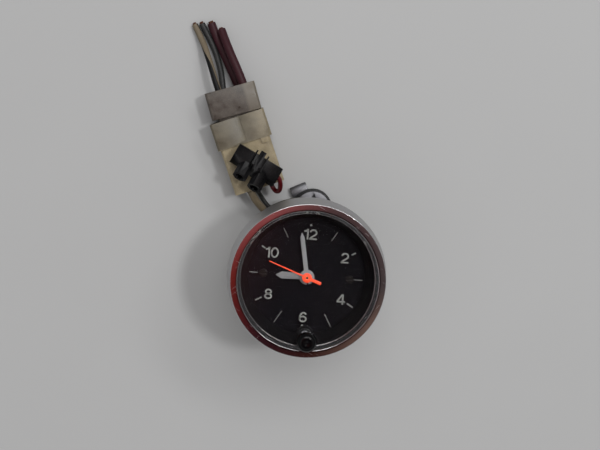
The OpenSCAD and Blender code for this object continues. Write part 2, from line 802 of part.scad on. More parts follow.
module rotor_pinion() {
    color("silver") place(rotor_at) {
        arbor(back_top + run, front_bot - run);
        translate([0, 0, rotor_pinion_z]) toothed(rotor_n, step_m, LEAF_TOOTH, pinion_h, rotor_phase);
    }
}

// first wheel, turned by the rotor
module step_wheel() {
    color("white") place(step_at) difference() {
        union() {
            arbor(back_top + run, front_bot - run);
            translate([0, 0, step_z]) toothed(step_n, step_m, WHEEL_TOOTH, wheel_t, 0);
            translate([0, 0, step_z]) cylinder(r = 1.1, h = step_pinion_z - step_z);
            translate([0, 0, step_pinion_z])
                toothed(step_pinion_n, seconds_m, LEAF_TOOTH, long_pinion_h, step_pinion_phase);
        }
        wheel_holes(4, step_m * step_n / 4, 1.1, step_z);
    }
}

// seconds arbor, wheel and pinion, with the arbor up through both tubes
module seconds_wheel() {
    rim = seconds_m * seconds_n / 2;
    top = seconds_z0 + hub_h - 0.2;
    color("white") difference() {
        union() {
            translate([0, 0, back_top + run]) cylinder(r = arbor_r, h = top - back_top - run);
            translate([0, 0, back_top - pivot_len]) cylinder(r = pivot_r, h = 2 * pivot_len);
            translate([0, 0, seconds_z]) toothed(seconds_n, seconds_m, WHEEL_TOOTH, wheel_t, 0);
            translate([0, 0, seconds_z]) cylinder(r = 1.1, h = seconds_pinion_z - seconds_z);
            translate([0, 0, seconds_pinion_z]) toothed(seconds_pinion_n, third_m, LEAF_TOOTH, pinion_h, 0);
        }
        wheel_holes(5, rim / 2, 1.5, seconds_z);
    }
}

module third_wheel() {
    color("white") place(third_at) difference() {
        union() {
            arbor(back_top + run, front_bot - run);
            translate([0, 0, third_z]) toothed(third_n, third_m, WHEEL_TOOTH, wheel_t, third_phase);
            translate([0, 0, third_z]) cylinder(r = 0.8, h = third_pinion_z - third_z);
            translate([0, 0, third_pinion_z])
                toothed(third_pinion_n, centre_m, LEAF_TOOTH, long_pinion_h, 0);
        }
        wheel_holes(5, third_m * third_n / 4, 1.6, third_z);
    }
}

// minute wheel of the going train, pressed on the cannon's tube
module centre_wheel() {
    color("khaki") difference() {
        translate([0, 0, centre_z]) toothed(centre_n, centre_m, WHEEL_TOOTH, wheel_t, centre_phase);
        through([0, 0], centre_z, wheel_t, tube_r + press);
        wheel_holes(5, centre_m * centre_n / 4 + 0.4, 1.5, centre_z);
    }
}

// tube that carries the minute hand, with a shoulder under the centre wheel and a pinion above the plate
module cannon_pinion() {
    color("gold") difference() {
        union() {
            translate([0, 0, centre_z - 0.4]) cylinder(r = tube_r, h = minute_z0 + hand_t - centre_z + 0.4);
            translate([0, 0, centre_z - 0.4]) cylinder(r = tube_r + 0.4, h = 0.4);
            translate([0, 0, cannon_z]) toothed(cannon_n, motion_m, LEAF_TOOTH, cannon_h, 0);
        }
        through([0, 0], centre_z - 0.4, minute_z0 + hand_t - centre_z + 0.4, tube_in_r);
    }
}

module minute_wheel() {
    color("white") place(minute_wheel_at) difference() {
        union() {
            translate([0, 0, motion_z]) toothed(minute_n, motion_m, WHEEL_TOOTH, wheel_t, minute_phase);
            translate([0, 0, motion_z])
                toothed(minute_pinion_n, motion_m, LEAF_TOOTH, wheel_t + minute_pinion_h, 0);
        }
        through([0, 0], motion_z, wheel_t + minute_pinion_h, post_r + run);
    }
}

// hour wheel with the pipe that carries the hour hand
module hour_wheel() {
    color("gold") difference() {
        union() {
            translate([0, 0, hour_z]) toothed(hour_n, motion_m, WHEEL_TOOTH, wheel_t, hour_phase);
            translate([0, 0, hour_z]) cylinder(r = pipe_r, h = hour_z0 + hand_t - hour_z);
        }
        through([0, 0], hour_z, hour_z0 + hand_t - hour_z, pipe_in_r);
        wheel_holes(4, motion_m * hour_n / 2 - 1.5, 0.7, hour_z);
    }
}

module set_idler() {
    color("white") place(idler_at, motion_z) difference() {
        toothed(idler_n, motion_m, WHEEL_TOOTH, wheel_t, idler_phase);
        through([0, 0], 0, wheel_t, post_r + run);
    }
}

// setting pinion under the stem, with a flat face for the clutch
module set_pinion() {
    hub = motion_m * (set_n / 2 - 1.25);
    color("white") place(stem_at) difference() {
        union() {
            translate([0, 0, cannon_z]) toothed(set_n, motion_m, LEAF_TOOTH, cannon_h, set_phase);
            translate([0, 0, cannon_z]) cylinder(r = hub, h = set_face_z - cannon_z);
        }
        through([0, 0], cannon_z, set_face_z - cannon_z, post_r + run);
    }
}

// fibre disc on the end of the stem, which grips the setting pinion's face when the knob is pushed
module clutch_disc() {
    color("peru") place(stem_at, clutch_z) difference() {
        cylinder(r = 1.7, h = clutch_t);
        through([0, 0], 0, clutch_t, post_r + press);
    }
}

module set_stem() {
    foot = clutch_z + 0.2;
    shoulder = clutch_z + clutch_t;
    top = knob_bot + knob_h * 0.6;
    outline = [
        [0, foot], [post_r, foot], [post_r, shoulder], [stem_d / 2, shoulder], [stem_d / 2, top], [0, top]
    ];
    color("lightgray") place(stem_at) rotate_extrude($fn = 36) polygon(outline);
}

// domed knob with a waisted underside and a dished top
module set_knob() {
    r = knob_d / 2;
    dish_r = 1;
    edge = 2.2;
    waist = [[r - 1.3, 0], [r - 0.7, 0.8], [r - 0.2, 1.7], [r, 2.2]];
    side = [for (p = waist) [p[0], p[1] + knob_bot]];
    shoulder = arc([r - edge, knob_top - edge], edge, edge, 0, 78, 7);
    outline = concat(
        [[0, knob_bot]], side, shoulder,
        [[dish_r, knob_top], [dish_r * 0.5, knob_top - 0.25], [0, knob_top - 0.3]]
    );
    color([0.08, 0.08, 0.08]) place(stem_at) difference() {
        rotate_extrude($fn = 72) polygon(outline);
        translate([0, 0, knob_bot - 1]) cylinder(r = stem_d / 2 + press, h = knob_h * 0.6 + 1 + press);
    }
}

// flanged black bush in the dial ring's boss
module stem_bush() {
    color([0.06, 0.06, 0.06]) place(stem_at) difference() {
        union() {
            translate([0, 0, bush_bot]) cylinder(r = bush_r, h = boss_top - bush_bot);
            translate([0, 0, boss_top]) cylinder(r = bush_r + 0.6, h = bush_flange_t);
        }
        through([0, 0], bush_bot, boss_top - bush_bot + bush_flange_t, stem_d / 2 + run);
    }
}

// washer that holds the return spring under the lens
module spring_collar() {
    color("silver") place(stem_at, collar_z) difference() {
        cylinder(r = spring_mean_r + spring_wire, h = collar_t);
        through([0, 0], 0, collar_t, stem_d / 2 + run);
    }
}

// return spring round the stem, one unbroken helix
module stem_spring() {
    color("gainsboro") place(stem_at) swept(spring_line(8 * spring_turns), spring_wire, 6);
}

// baton that widens to a pointed tip
module hour_hand() {
    root_w = hour_w * 0.75;
    point = 2.2;
    outline = [
        [-root_w / 2, 0], [-hour_w / 2, hour_len - point], [0, hour_len],
        [hour_w / 2, hour_len - point], [root_w / 2, 0]
    ];
    color("white") translate([0, 0, hour_z0]) rotate([0, 0, -hour_at]) difference() {
        union() {
            linear_extrude(height = hand_t) polygon(outline);
            cylinder(r = pipe_r + 0.75, h = hand_t);
        }
        through([0, 0], 0, hand_t, pipe_r + press);
    }
}

// baton on a round boss with a small notch
module minute_hand() {
    point = 2;
    outline = [
        [-minute_w / 2, 0], [-minute_w / 2, minute_len - point], [0, minute_len],
        [minute_w / 2, minute_len - point], [minute_w / 2, 0]
    ];
    color("white") translate([0, 0, minute_z0]) rotate([0, 0, -minute_at]) difference() {
        union() {
            linear_extrude(height = hand_t) polygon(outline);
            cylinder(r = boss_r, h = hand_t);
        }
        translate([-0.3, -boss_r - 1, -1]) cube([0.6, 1.9, hand_t + 2]);
        through([0, 0], 0, hand_t, tube_r + press);
    }
}

// needle with a heavier tail and a round hub
module seconds_hand() {
    tail_w = 2 * seconds_w;
    outline = [
        [-tail_w / 2, -seconds_tail], [-tail_w / 2, -hub_r],
        [-seconds_w / 2, 0], [-seconds_w / 4, seconds_len],
        [seconds_w / 4, seconds_len], [seconds_w / 2, 0],
        [tail_w / 2, -hub_r], [tail_w / 2, -seconds_tail]
    ];
    color("orangered") translate([0, 0, seconds_z0]) rotate([0, 0, -seconds_at]) difference() {
        union() {
            linear_extrude(height = hand_t) polygon(outline);
            cylinder(r = hub_r, h = hub_h);
        }
        through([0, 0], 0, hub_h, arbor_r + press);
    }
}

// steel lamp holder: a barrel through the rear wall and a flange with a small notch
module lamp_shell() {
    notch = [[-0.9, 3.2], [0.9, 3.2], [0, 5]];
    outline = [
        [lamp_d / 2 - lamp_wall, lamp_flange_z], [flange_d / 2, lamp_flange_z],
        [flange_d / 2, lamp_flange_z + lamp_flange_t], [lamp_d / 2, lamp_flange_z + lamp_flange_t],
        [lamp_d / 2, lamp_top], [lamp_d / 2 - lamp_wall, lamp_top]
    ];
    color("silver") place(lamp_at) difference() {
        rotate_extrude($fn = 72) polygon(outline);
        translate([0, 1.2, lamp_flange_z - 1]) linear_extrude(height = lamp_flange_t + 2) polygon(notch);
    }
}

// black disc with a boss behind, where the lamp wire enters, and a plug inside the barrel
module lamp_insulator() {
    plug_r = lamp_d / 2 - lamp_wall - run;
    outline = [
        [0, 0], [insulator_boss_r, 0], [insulator_boss_r, insulator_z], [insulator_d / 2, insulator_z],
        [insulator_d / 2, lamp_flange_z], [plug_r, lamp_flange_z], [plug_r, bulb_seat_z], [0, bulb_seat_z]
    ];
    color([0.1, 0.1, 0.1]) place(lamp_at) difference() {
        rotate_extrude($fn = 72) polygon(outline);
        translate([-2.2, 0, lamp_wire_z]) rotate([0, -90, 0]) cylinder(d = lamp_wire_d + 2 * run, h = 4);
    }
}

module bulb_cap() {
    color("gold") place(lamp_at, bulb_seat_z) cylinder(r = cap_r, h = cap_h);
}

// glass envelope with a round end
module lamp_bulb() {
    r = cap_r - 0.1;
    foot = bulb_seat_z + cap_h;
    tip = arc([0, foot + bulb_h - r], r, r, 0, 90, 10);
    outline = concat([[0, foot], [r - 0.8, foot], [r, foot + 1.5]], tip);
    color([0.9, 0.9, 0.8, 0.5]) place(lamp_at) rotate_extrude($fn = 48) polygon(outline);
}

// crimp barrel on a tongue beside the insulator's boss
module lamp_terminal() {
    to_lamp = lamp_at - terminal_at;
    tongue = norm(to_lamp) - insulator_boss_r - press;
    color("darkgray") place(terminal_at, terminal_r) {
        rotate([0, 0, terminal_turn]) rotate([0, 90, 0]) difference() {
            cylinder(r = terminal_r, h = terminal_len, center = true);
            translate([0, 0, -terminal_len / 2 - 1]) cylinder(r = 0.9, h = 4);
        }
        rotate([0, 0, atan2(to_lamp[1], to_lamp[0])]) translate([0, -1.2, -0.4]) cube([tongue, 2.4, 0.8]);
    }
}

// rubber grommet in the rear wall
module wire_grommet() {
    bore = supply_d / 2 + press;
    edge_r = grommet_neck + 1;
    outline = [
        [bore, rear_reach - grommet_lip], [edge_r, rear_reach - grommet_lip], [edge_r, rear_reach],
        [grommet_neck, rear_reach], [grommet_neck, rear_in], [edge_r, rear_in],
        [edge_r, rear_in + grommet_lip], [bore, rear_in + grommet_lip]
    ];
    color("black") place(grommet_at) rotate_extrude($fn = 48) polygon(outline);
}

// four wire cells in two rows, open at one end of a housing
module cells(y0) {
    for (x = [-column_x, column_x], z = [row_low, row_high])
        translate([x - cell_w / 2, y0, z - cell_h / 2]) cube([cell_w, cell_depth, cell_h]);
}

// nylon half on the clock's side: body, wider collar with a shallow valley, latch ledge
module socket_housing() {
    inner_w = plug_w - 2 * wall_in + 2 * slip;
    color([0.85, 0.8, 0.68]) loom() difference() {
        union() {
            chamfered_bar(socket_w, step_h, collar_h - step_h, 0, socket_len, 0.8);
            chamfered_bar(collar_w, 0, collar_h, socket_len, collar_end, 0.8);
            translate([latch_x, socket_len - latch_len, collar_h - 2 * step_h])
                cube([latch_w, latch_len + 1, 2 * step_h]);
        }
        translate([0, -1, 0]) cells(0);
        translate([-inner_w / 2, collar_end - nose_in, 1.4]) cube([inner_w, nose_in + 1, collar_h - 2.8]);
        translate([-1, socket_len + 1, collar_h - 0.25]) cube([2, collar_len, 1]);
    }
}

// nylon half on the pigtail's side, with a nose inside the collar
module plug_housing() {
    nose_w = plug_w - 2 * wall_in - nose_play;
    nose_z = 1.4 + slip;
    nose_y = collar_end - nose_in + 0.2;
    color([0.72, 0.66, 0.56]) plugged() difference() {
        union() {
            chamfered_bar(plug_w, step_h, collar_h - step_h, plug_bot, plug_end, 0.8);
            chamfered_bar(nose_w, nose_z, collar_h - nose_z, nose_y, plug_bot + 1, 0.5);
        }
        translate([0, plug_end - cell_depth + 1, 0]) cells(0);
    }
}

// crimped ends of the wires at the bottom of their cells
module crimp_terminals() {
    socket_y = cell_depth - 1 - crimp_len;
    plug_y = plug_end - cell_depth + 1;
    socket_ends = [[-column_x, row_low], [-column_x, row_high], [column_x, row_high]];
    plug_ends = [for (x = [-column_x, column_x], z = [row_low, row_high]) [x, z]];
    size = [6.2, crimp_len - seat, 2.4];
    color("gold") {
        loom() for (e = socket_ends) translate([e[0] - 3.1, socket_y + seat, e[1] - 1.2]) cube(size);
        plugged() for (e = plug_ends) translate([e[0] - 3.1, plug_y, e[1] - 1.2]) cube(size);
    }
}

// one black right-angle cover: a box with sloping sides, a joint flange and a wire barrel to the side
module terminal_cover(barrel_len) {
    half = cover_w / 2;
    rib_t = 1.1;
    section = [
        [-half, 0], [half, 0], [half - 0.4, cover_h - 0.8], [half - 1.1, cover_h],
        [-half + 1.4, cover_h], [-half, cover_h - 1.8]
    ];
    difference() {
        union() {
            rotate([90, 0, 90]) linear_extrude(height = cover_len) polygon(section);
            translate([0, -half - cover_rib, 0]) cube([rib_t, cover_w + 2 * cover_rib, cover_h + cover_rib]);
            translate([2 * rib_t, -half - 0.4, 0]) cube([rib_t / 2, cover_w + 0.8, cover_h + 0.5]);
            translate([cover_barrel_x, 0, barrel_d / 2]) rotate([90, 0, 0])
                rotate([0, 0, 22.5]) cylinder(d = barrel_d / cos(22.5), h = barrel_len, $fn = 8);
        }
        translate([cover_barrel_x, -half - 1.5, barrel_d / 2]) rotate([90, 0, 0])
            cylinder(d = barrel_d - 2, h = barrel_len);
    }
}

// left cover, with an open blade slot in its end
module cover_left() {
    color([0.09, 0.09, 0.09]) covers() mirror([1, 0, 0]) difference() {
        translate([seat / 2, 0, 0]) terminal_cover(8.5);
        translate([cover_len - 3, -1.7, 1.4]) cube([4, 3.2, cover_h - 3]);
    }
}

// right cover, with the jumper's hole in its end
module cover_right() {
    color([0.09, 0.09, 0.09]) covers() difference() {
        translate([seat / 2, 0, 0]) terminal_cover(9.5);
        translate([cover_len - 5, 0, cover_wire_z]) rotate([0, 90, 0])
            cylinder(d = jumper_d + 4 * run, h = 7, $fn = 24);
    }
}

module supply_wire() {
    color("wheat") loom() swept(SUPPLY_ROUTE, supply_d, 8, [1, 0, 0]);
}

module lamp_wire() {
    color([0.1, 0.1, 0.1]) loom() swept(LAMP_ROUTE, lamp_wire_d);
}

module jumper_wire() {
    color("firebrick") loom() swept(JUMPER_ROUTE, jumper_d, 8, [0.5, 0.2, 0.84]);
}

module white_pigtail() {
    color("whitesmoke") loom() swept(WHITE_ROUTE, thin_d);
}

module grey_pigtail() {
    color([0.3, 0.33, 0.33]) loom() swept(GREY_ROUTE, thin_d);
}

module plum_pigtail_low() {
    color([0.4, 0.16, 0.2]) loom() swept(PLUM_LOW_ROUTE, thick_d);
}

module plum_pigtail_high() {
    color([0.4, 0.16, 0.2]) loom() swept(PLUM_HIGH_ROUTE, thick_d);
}

bezel();
lens();
lens_gasket();
dial_ring();
dial();
dial_screws();
case_can();
mount_studs();
stud_nuts();
thumb_nuts();
back_plate();
front_plate();
plate_pillars();
front_posts();
rear_posts();
stator();
coil_core();
coil_bobbin();
coil_winding();
circuit_board();
timing_crystal();
rotor_magnet();
rotor_pinion();
step_wheel();
seconds_wheel();
third_wheel();
centre_wheel();
cannon_pinion();
minute_wheel();
hour_wheel();
set_idler();
set_pinion();
clutch_disc();
set_stem();
set_knob();
stem_bush();
spring_collar();
stem_spring();
hour_hand();
minute_hand();
seconds_hand();
lamp_shell();
lamp_insulator();
bulb_cap();
lamp_bulb();
lamp_terminal();
wire_grommet();
socket_housing();
plug_housing();
crimp_terminals();
cover_left();
cover_right();
supply_wire();
lamp_wire();
jumper_wire();
white_pigtail();
grey_pigtail();
plum_pigtail_low();
plum_pigtail_high();
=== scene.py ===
# %% [markdown]
# # A car dashboard clock
# This lesson dresses the imported clock for a photograph. model.glb brings every piece as plain
# triangles, already in place, and each is tied to the body that it moves with. The cells below add the
# camera, the finishes, the wires, the printed dial and the light, in that order.

# %% Load the imported model
import json
import math

import bmesh
import bpy
from mathutils import Matrix, Vector

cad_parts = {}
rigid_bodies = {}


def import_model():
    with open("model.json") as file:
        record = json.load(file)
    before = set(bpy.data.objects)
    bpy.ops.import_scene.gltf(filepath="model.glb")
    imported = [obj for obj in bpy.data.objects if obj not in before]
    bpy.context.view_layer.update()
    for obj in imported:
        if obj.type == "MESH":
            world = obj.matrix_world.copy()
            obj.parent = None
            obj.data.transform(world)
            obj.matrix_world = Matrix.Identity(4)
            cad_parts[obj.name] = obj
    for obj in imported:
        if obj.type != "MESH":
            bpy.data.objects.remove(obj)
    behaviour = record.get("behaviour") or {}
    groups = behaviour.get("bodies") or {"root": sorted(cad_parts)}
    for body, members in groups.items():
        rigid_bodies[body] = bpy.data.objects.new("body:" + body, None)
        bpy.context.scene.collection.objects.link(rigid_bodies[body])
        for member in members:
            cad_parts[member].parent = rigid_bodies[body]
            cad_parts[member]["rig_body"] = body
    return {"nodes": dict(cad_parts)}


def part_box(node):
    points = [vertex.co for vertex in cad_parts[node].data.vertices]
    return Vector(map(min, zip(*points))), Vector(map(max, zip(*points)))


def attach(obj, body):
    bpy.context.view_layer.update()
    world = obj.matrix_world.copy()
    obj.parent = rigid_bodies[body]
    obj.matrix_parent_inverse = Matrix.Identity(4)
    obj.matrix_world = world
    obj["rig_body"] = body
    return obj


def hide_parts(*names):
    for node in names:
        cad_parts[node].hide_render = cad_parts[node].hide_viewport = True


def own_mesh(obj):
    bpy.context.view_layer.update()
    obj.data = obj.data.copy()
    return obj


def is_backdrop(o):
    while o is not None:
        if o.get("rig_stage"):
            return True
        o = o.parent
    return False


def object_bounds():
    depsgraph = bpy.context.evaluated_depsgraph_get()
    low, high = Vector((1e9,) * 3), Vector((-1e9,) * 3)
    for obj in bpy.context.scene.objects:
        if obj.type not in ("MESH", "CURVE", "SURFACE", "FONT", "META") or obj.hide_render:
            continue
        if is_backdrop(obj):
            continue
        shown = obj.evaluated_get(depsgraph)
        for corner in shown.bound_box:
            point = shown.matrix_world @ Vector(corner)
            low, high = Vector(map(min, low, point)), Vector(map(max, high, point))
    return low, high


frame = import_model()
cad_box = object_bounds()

MM = 0.001
TO_MM = 1000.0
NODES = frame["nodes"]
BODY_OF = {name: node["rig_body"] for name, node in NODES.items()}
SCENE = bpy.context.scene

# %% [markdown]
# ## The camera
# The photo looks almost straight down at the dial, a little from above 12 o'clock, and leans by
# five degrees. The three directions below were solved from the bezel's ellipse and the connector's
# corners, so the render lies over the photo.

# %% Camera
CAMERA_AT = Vector((-26.55, 69.36, 394.43)) * MM
IMAGE_RIGHT = Vector((0.9947, 0.08934, 0.05099))
IMAGE_DOWN = Vector((0.08097, -0.98572, 0.14762))
LOOK = Vector((0.06345, -0.14271, -0.98773))
SENSOR_MM, FOCAL_MM = 36, 57.0


def placed(name, data):
    """An object in the scene that shows the data."""
    made = bpy.data.objects.new(name, data)
    SCENE.collection.objects.link(made)
    return made


lens_data = bpy.data.cameras.new("photo_camera")
lens_data.sensor_width = SENSOR_MM
lens_data.lens = FOCAL_MM
lens_data.clip_start = 0.01
camera = placed("photo_camera", lens_data)
columns = (IMAGE_RIGHT, -IMAGE_DOWN, -LOOK, CAMERA_AT)
camera.matrix_world = Matrix([[c[i] for c in columns] for i in range(3)] + [[0, 0, 0, 1]])
SCENE.camera = camera
print("camera at", [round(x, 4) for x in CAMERA_AT])

# %% [markdown]
# ## Shared effects
# Real surfaces are never one even tone. Moulded nylon clouds, paint mottles, metal gathers fine
# scratches, and dust settles on whatever faces up. Each effect is one small group of shader nodes
# that puts out colours and values, so every finish can use it with its own strength.

# %% A helper that adds shader nodes
def add(tree, kind, inputs=None, **settings):
    made = tree.nodes.new(kind)
    for key, value in settings.items():
        setattr(made, key, value)
    for key, value in (inputs or {}).items():
        if isinstance(value, bpy.types.NodeSocket):
            tree.links.new(value, made.inputs[key])
        else:
            made.inputs[key].default_value = value
    return made


def maths(tree, operation, a, b=0.0, clamp=False):
    return add(tree, "ShaderNodeMath", {0: a, 1: b}, operation=operation, use_clamp=clamp).outputs[0]


def group(name, inputs, outputs):
    tree = bpy.data.node_groups.new(name, "ShaderNodeTree")
    for label, kind, value in inputs:
        socket = tree.interface.new_socket(label, in_out="INPUT", socket_type=kind)
        if value is not None:
            socket.default_value = value
    for label, kind in outputs:
        tree.interface.new_socket(label, in_out="OUTPUT", socket_type=kind)
    return tree, tree.nodes.new("NodeGroupInput"), tree.nodes.new("NodeGroupOutput")


COLOUR, VALUE, VECTOR = "NodeSocketColor", "NodeSocketFloat", "NodeSocketVector"
print("helpers: add, maths, group")

# %% Mottle: slow clouds in the tone and a fine grain in the gloss
GRAIN_SHARE = 0.25
mottle, m_in, m_out = group(
    "mottle",
    [("Vector", VECTOR, None), ("Colour", COLOUR, None), ("Roughness", VALUE, 0.5),
     ("Cloud", VALUE, 2.0), ("Amount", VALUE, 0.2)],
    [("Colour", COLOUR), ("Roughness", VALUE), ("Height", VALUE)],
)
in_mm = add(mottle, "ShaderNodeVectorMath", {0: m_in.outputs["Vector"], "Scale": TO_MM}, operation="SCALE")
rate = maths(mottle, "DIVIDE", 1.0, m_in.outputs["Cloud"])
cloud = add(mottle, "ShaderNodeTexNoise", {"Vector": in_mm.outputs[0], "Scale": rate, "Detail": 4.0})
grain = add(mottle, "ShaderNodeTexNoise", {"Vector": in_mm.outputs[0], "Scale": 5.0, "Detail": 3.0})
off_middle = maths(mottle, "SUBTRACT", cloud.outputs["Fac"], 0.5)
swing = maths(mottle, "MULTIPLY", off_middle, m_in.outputs["Amount"])
gain = maths(mottle, "ADD", 1.0, maths(mottle, "MULTIPLY", swing, 2.0))
toned = add(mottle, "ShaderNodeVectorMath", {0: m_in.outputs["Colour"], "Scale": gain}, operation="SCALE")
fine = maths(mottle, "MULTIPLY", maths(mottle, "SUBTRACT", grain.outputs["Fac"], 0.5), GRAIN_SHARE)
gloss = maths(mottle, "ADD", m_in.outputs["Roughness"], maths(mottle, "ADD", fine, swing), clamp=True)
mottle.links.new(toned.outputs[0], m_out.inputs["Colour"])
mottle.links.new(gloss, m_out.inputs["Roughness"])
mottle.links.new(grain.outputs["Fac"], m_out.inputs["Height"])
print("group", mottle.name)

# %% Dust: pale specks on faces that look up
DUST_TONE = (0.42, 0.4, 0.37, 1)
dust, d_in, d_out = group(
    "dust",
    [("Vector", VECTOR, None), ("Colour", COLOUR, None), ("Amount", VALUE, 0.3)],
    [("Colour", COLOUR)],
)
in_mm = add(dust, "ShaderNodeVectorMath", {0: d_in.outputs["Vector"], "Scale": TO_MM}, operation="SCALE")
specks = add(dust, "ShaderNodeTexNoise", {"Vector": in_mm.outputs[0], "Scale": 3.5, "Detail": 6.0})
few = add(dust, "ShaderNodeMapRange", {"Value": specks.outputs["Fac"], "From Min": 0.56, "From Max": 0.74})
up = add(dust, "ShaderNodeSeparateXYZ", {0: add(dust, "ShaderNodeNewGeometry").outputs["Normal"]})
facing = maths(dust, "MAXIMUM", up.outputs["Z"], 0.0)
settled = maths(dust, "MULTIPLY", few.outputs[0], facing)
share = maths(dust, "MULTIPLY", settled, d_in.outputs["Amount"], clamp=True)
mixed = add(dust, "ShaderNodeMix", {"Factor": share, "A": d_in.outputs["Colour"], "B": DUST_TONE},
            data_type="RGBA")
dust.links.new(mixed.outputs["Result"], d_out.inputs["Colour"])
print("group", dust.name)

# %% Scratches: thin broken lines in two directions, from a noise that is drawn out long
TURN_AND_STRETCH = ((0.5, (160.0, 5200.0, 900.0)), (-0.9, (120.0, 4300.0, 900.0)))
scratch, s_in, s_out = group(
    "scratches",
    [("Vector", VECTOR, None), ("Amount", VALUE, 0.5)],
    [("Mask", VALUE)],
)
hairs = []
for turn, stretch in TURN_AND_STRETCH:
    turned = add(scratch, "ShaderNodeVectorRotate", {"Vector": s_in.outputs["Vector"], "Angle": turn})
    drawn = add(scratch, "ShaderNodeVectorMath", {0: turned.outputs[0], 1: stretch}, operation="MULTIPLY")
    hair = add(scratch, "ShaderNodeTexNoise", {"Vector": drawn.outputs[0], "Scale": 1.0, "Detail": 2.0})
    thin = add(scratch, "ShaderNodeMapRange",
               {"Value": hair.outputs["Fac"], "From Min": 0.68, "From Max": 0.74})
    hairs.append(thin.outputs[0])
both = maths(scratch, "MAXIMUM", hairs[0], hairs[1])
scratch.links.new(maths(scratch, "MULTIPLY", both, s_in.outputs["Amount"]), s_out.inputs["Mask"])
print("group", scratch.name)

# %% [markdown]
# ## Finishes
# One recipe makes every finish: a base colour, clouded by the mottle and then dusted. Metals also
# get the scratches in their gloss. All of them read object coordinates, and each piece sits at the
# origin with its place in its mesh, so the grain keeps one real size everywhere.

# %% The recipe
RELIEF = 0.1 * MM


def srgb(r, g, b):
    bend = lambda c: c / 12.92 if c <= 0.04045 else ((c + 0.055) / 1.055) ** 2.4
    return (bend(r), bend(g), bend(b), 1.0)


def use(tree, shared, **inputs):
    return add(tree, "ShaderNodeGroup", inputs, node_tree=shared)


def finish(name, colour, rough, metal=0.0, cloud=2.0, amount=0.15, dusty=0.25, worn=0.0, bump=0.1, **extra):
    made = bpy.data.materials.new(name)
    made.use_nodes = True
    tree = made.node_tree
    shader = tree.nodes["Principled BSDF"]
    where = add(tree, "ShaderNodeTexCoord").outputs["Object"]
    tone = use(tree, mottle, Vector=where, Colour=colour, Roughness=rough, Cloud=cloud, Amount=amount)
    top = use(tree, dust, Vector=where, Colour=tone.outputs["Colour"], Amount=dusty)
    gloss = tone.outputs["Roughness"]
    if worn:
        marks = use(tree, scratch, Vector=where, Amount=worn)
        gloss = maths(tree, "ADD", gloss, marks.outputs["Mask"], clamp=True)
    tree.links.new(top.outputs["Colour"], shader.inputs["Base Color"])
    tree.links.new(gloss, shader.inputs["Roughness"])
    shader.inputs["Metallic"].default_value = metal
    for key, value in extra.items():
        shader.inputs[key.replace("_", " ")].default_value = value
    if bump:
        relief = add(tree, "ShaderNodeBump", {"Height": tone.outputs["Height"], "Strength": bump})
        relief.inputs["Distance"].default_value = RELIEF
        tree.links.new(relief.outputs[0], shader.inputs["Normal"])
    return made


print("helpers: srgb, use, finish")

# %% Metals
FINISH = {
    "chrome": finish("chrome", (0.6, 0.59, 0.6, 1), 0.06, metal=1.0, cloud=6, amount=0.03, dusty=0.02,
                     worn=0.25, bump=0.0),
    "steel": finish("steel", (0.16, 0.16, 0.17, 1), 0.5, metal=1.0, cloud=3, amount=0.12, dusty=0.12,
                    worn=0.3, bump=0.05),
    "browned_steel": finish("browned_steel", srgb(0.07, 0.05, 0.045), 0.6, metal=0.1, cloud=0.8, amount=0.25,
                            dusty=0.0, worn=0.3, Specular_IOR_Level=0.15),
    "brass": finish("brass", (0.62, 0.42, 0.16, 1), 0.3, metal=1.0, cloud=3, amount=0.12, dusty=0.05,
                    worn=0.3, bump=0.05),
    "copper_wire": finish("copper_wire", srgb(0.33, 0.19, 0.13), 0.5, metal=0.7, cloud=0.8, amount=0.25,
                          dusty=0.0, worn=0.2),
    "iron": finish("iron", (0.2, 0.2, 0.21, 1), 0.45, metal=1.0, cloud=2, amount=0.2, dusty=0.1, worn=0.2),
    "olive_case": finish("olive_case", srgb(0.3, 0.29, 0.2), 0.42, metal=0.35, cloud=3, amount=0.2, dusty=0.2,
                         worn=0.2),
}
print("metals", len(FINISH))

# %% [markdown]
# The bezel's face was buffed bright, but its side only saw the plating bath. The normal's height tells the
# two apart: the side gets a rougher gloss, so its reflections blur, and a darker tone, which is painted
# shade.

# %% Satin side of the chrome, with painted shade
# How much rougher the bezel's side gets, and how much painted shade darkens its tone
SIDE_SATIN_AND_SHADE = 0.33


def base_of(tree):
    """The socket that feeds a finish's base colour."""
    return tree.nodes["Principled BSDF"].inputs["Base Color"].links[0].from_socket


tree = FINISH["chrome"].node_tree
shader = tree.nodes["Principled BSDF"]
upward = add(tree, "ShaderNodeSeparateXYZ", {0: add(tree, "ShaderNodeNewGeometry").outputs["Normal"]})
side = add(tree, "ShaderNodeMapRange", {"Value": upward.outputs["Z"], "From Min": 0.4, "From Max": 0.2,
                                        "To Min": 0.0, "To Max": SIDE_SATIN_AND_SHADE})
bright = shader.inputs["Roughness"].links[0].from_socket
tree.links.new(maths(tree, "ADD", bright, side.outputs[0], clamp=True), shader.inputs["Roughness"])
# Painted shade: the side's base tone is darkened as well as roughened
side_shade_gain = maths(tree, "SUBTRACT", 1.0, side.outputs[0])
side_shaded_base = add(tree, "ShaderNodeVectorMath", {0: base_of(tree), "Scale": side_shade_gain}, operation="SCALE")
tree.links.new(side_shaded_base.outputs[0], shader.inputs["Base Color"])
print("satin side on", FINISH["chrome"].name)

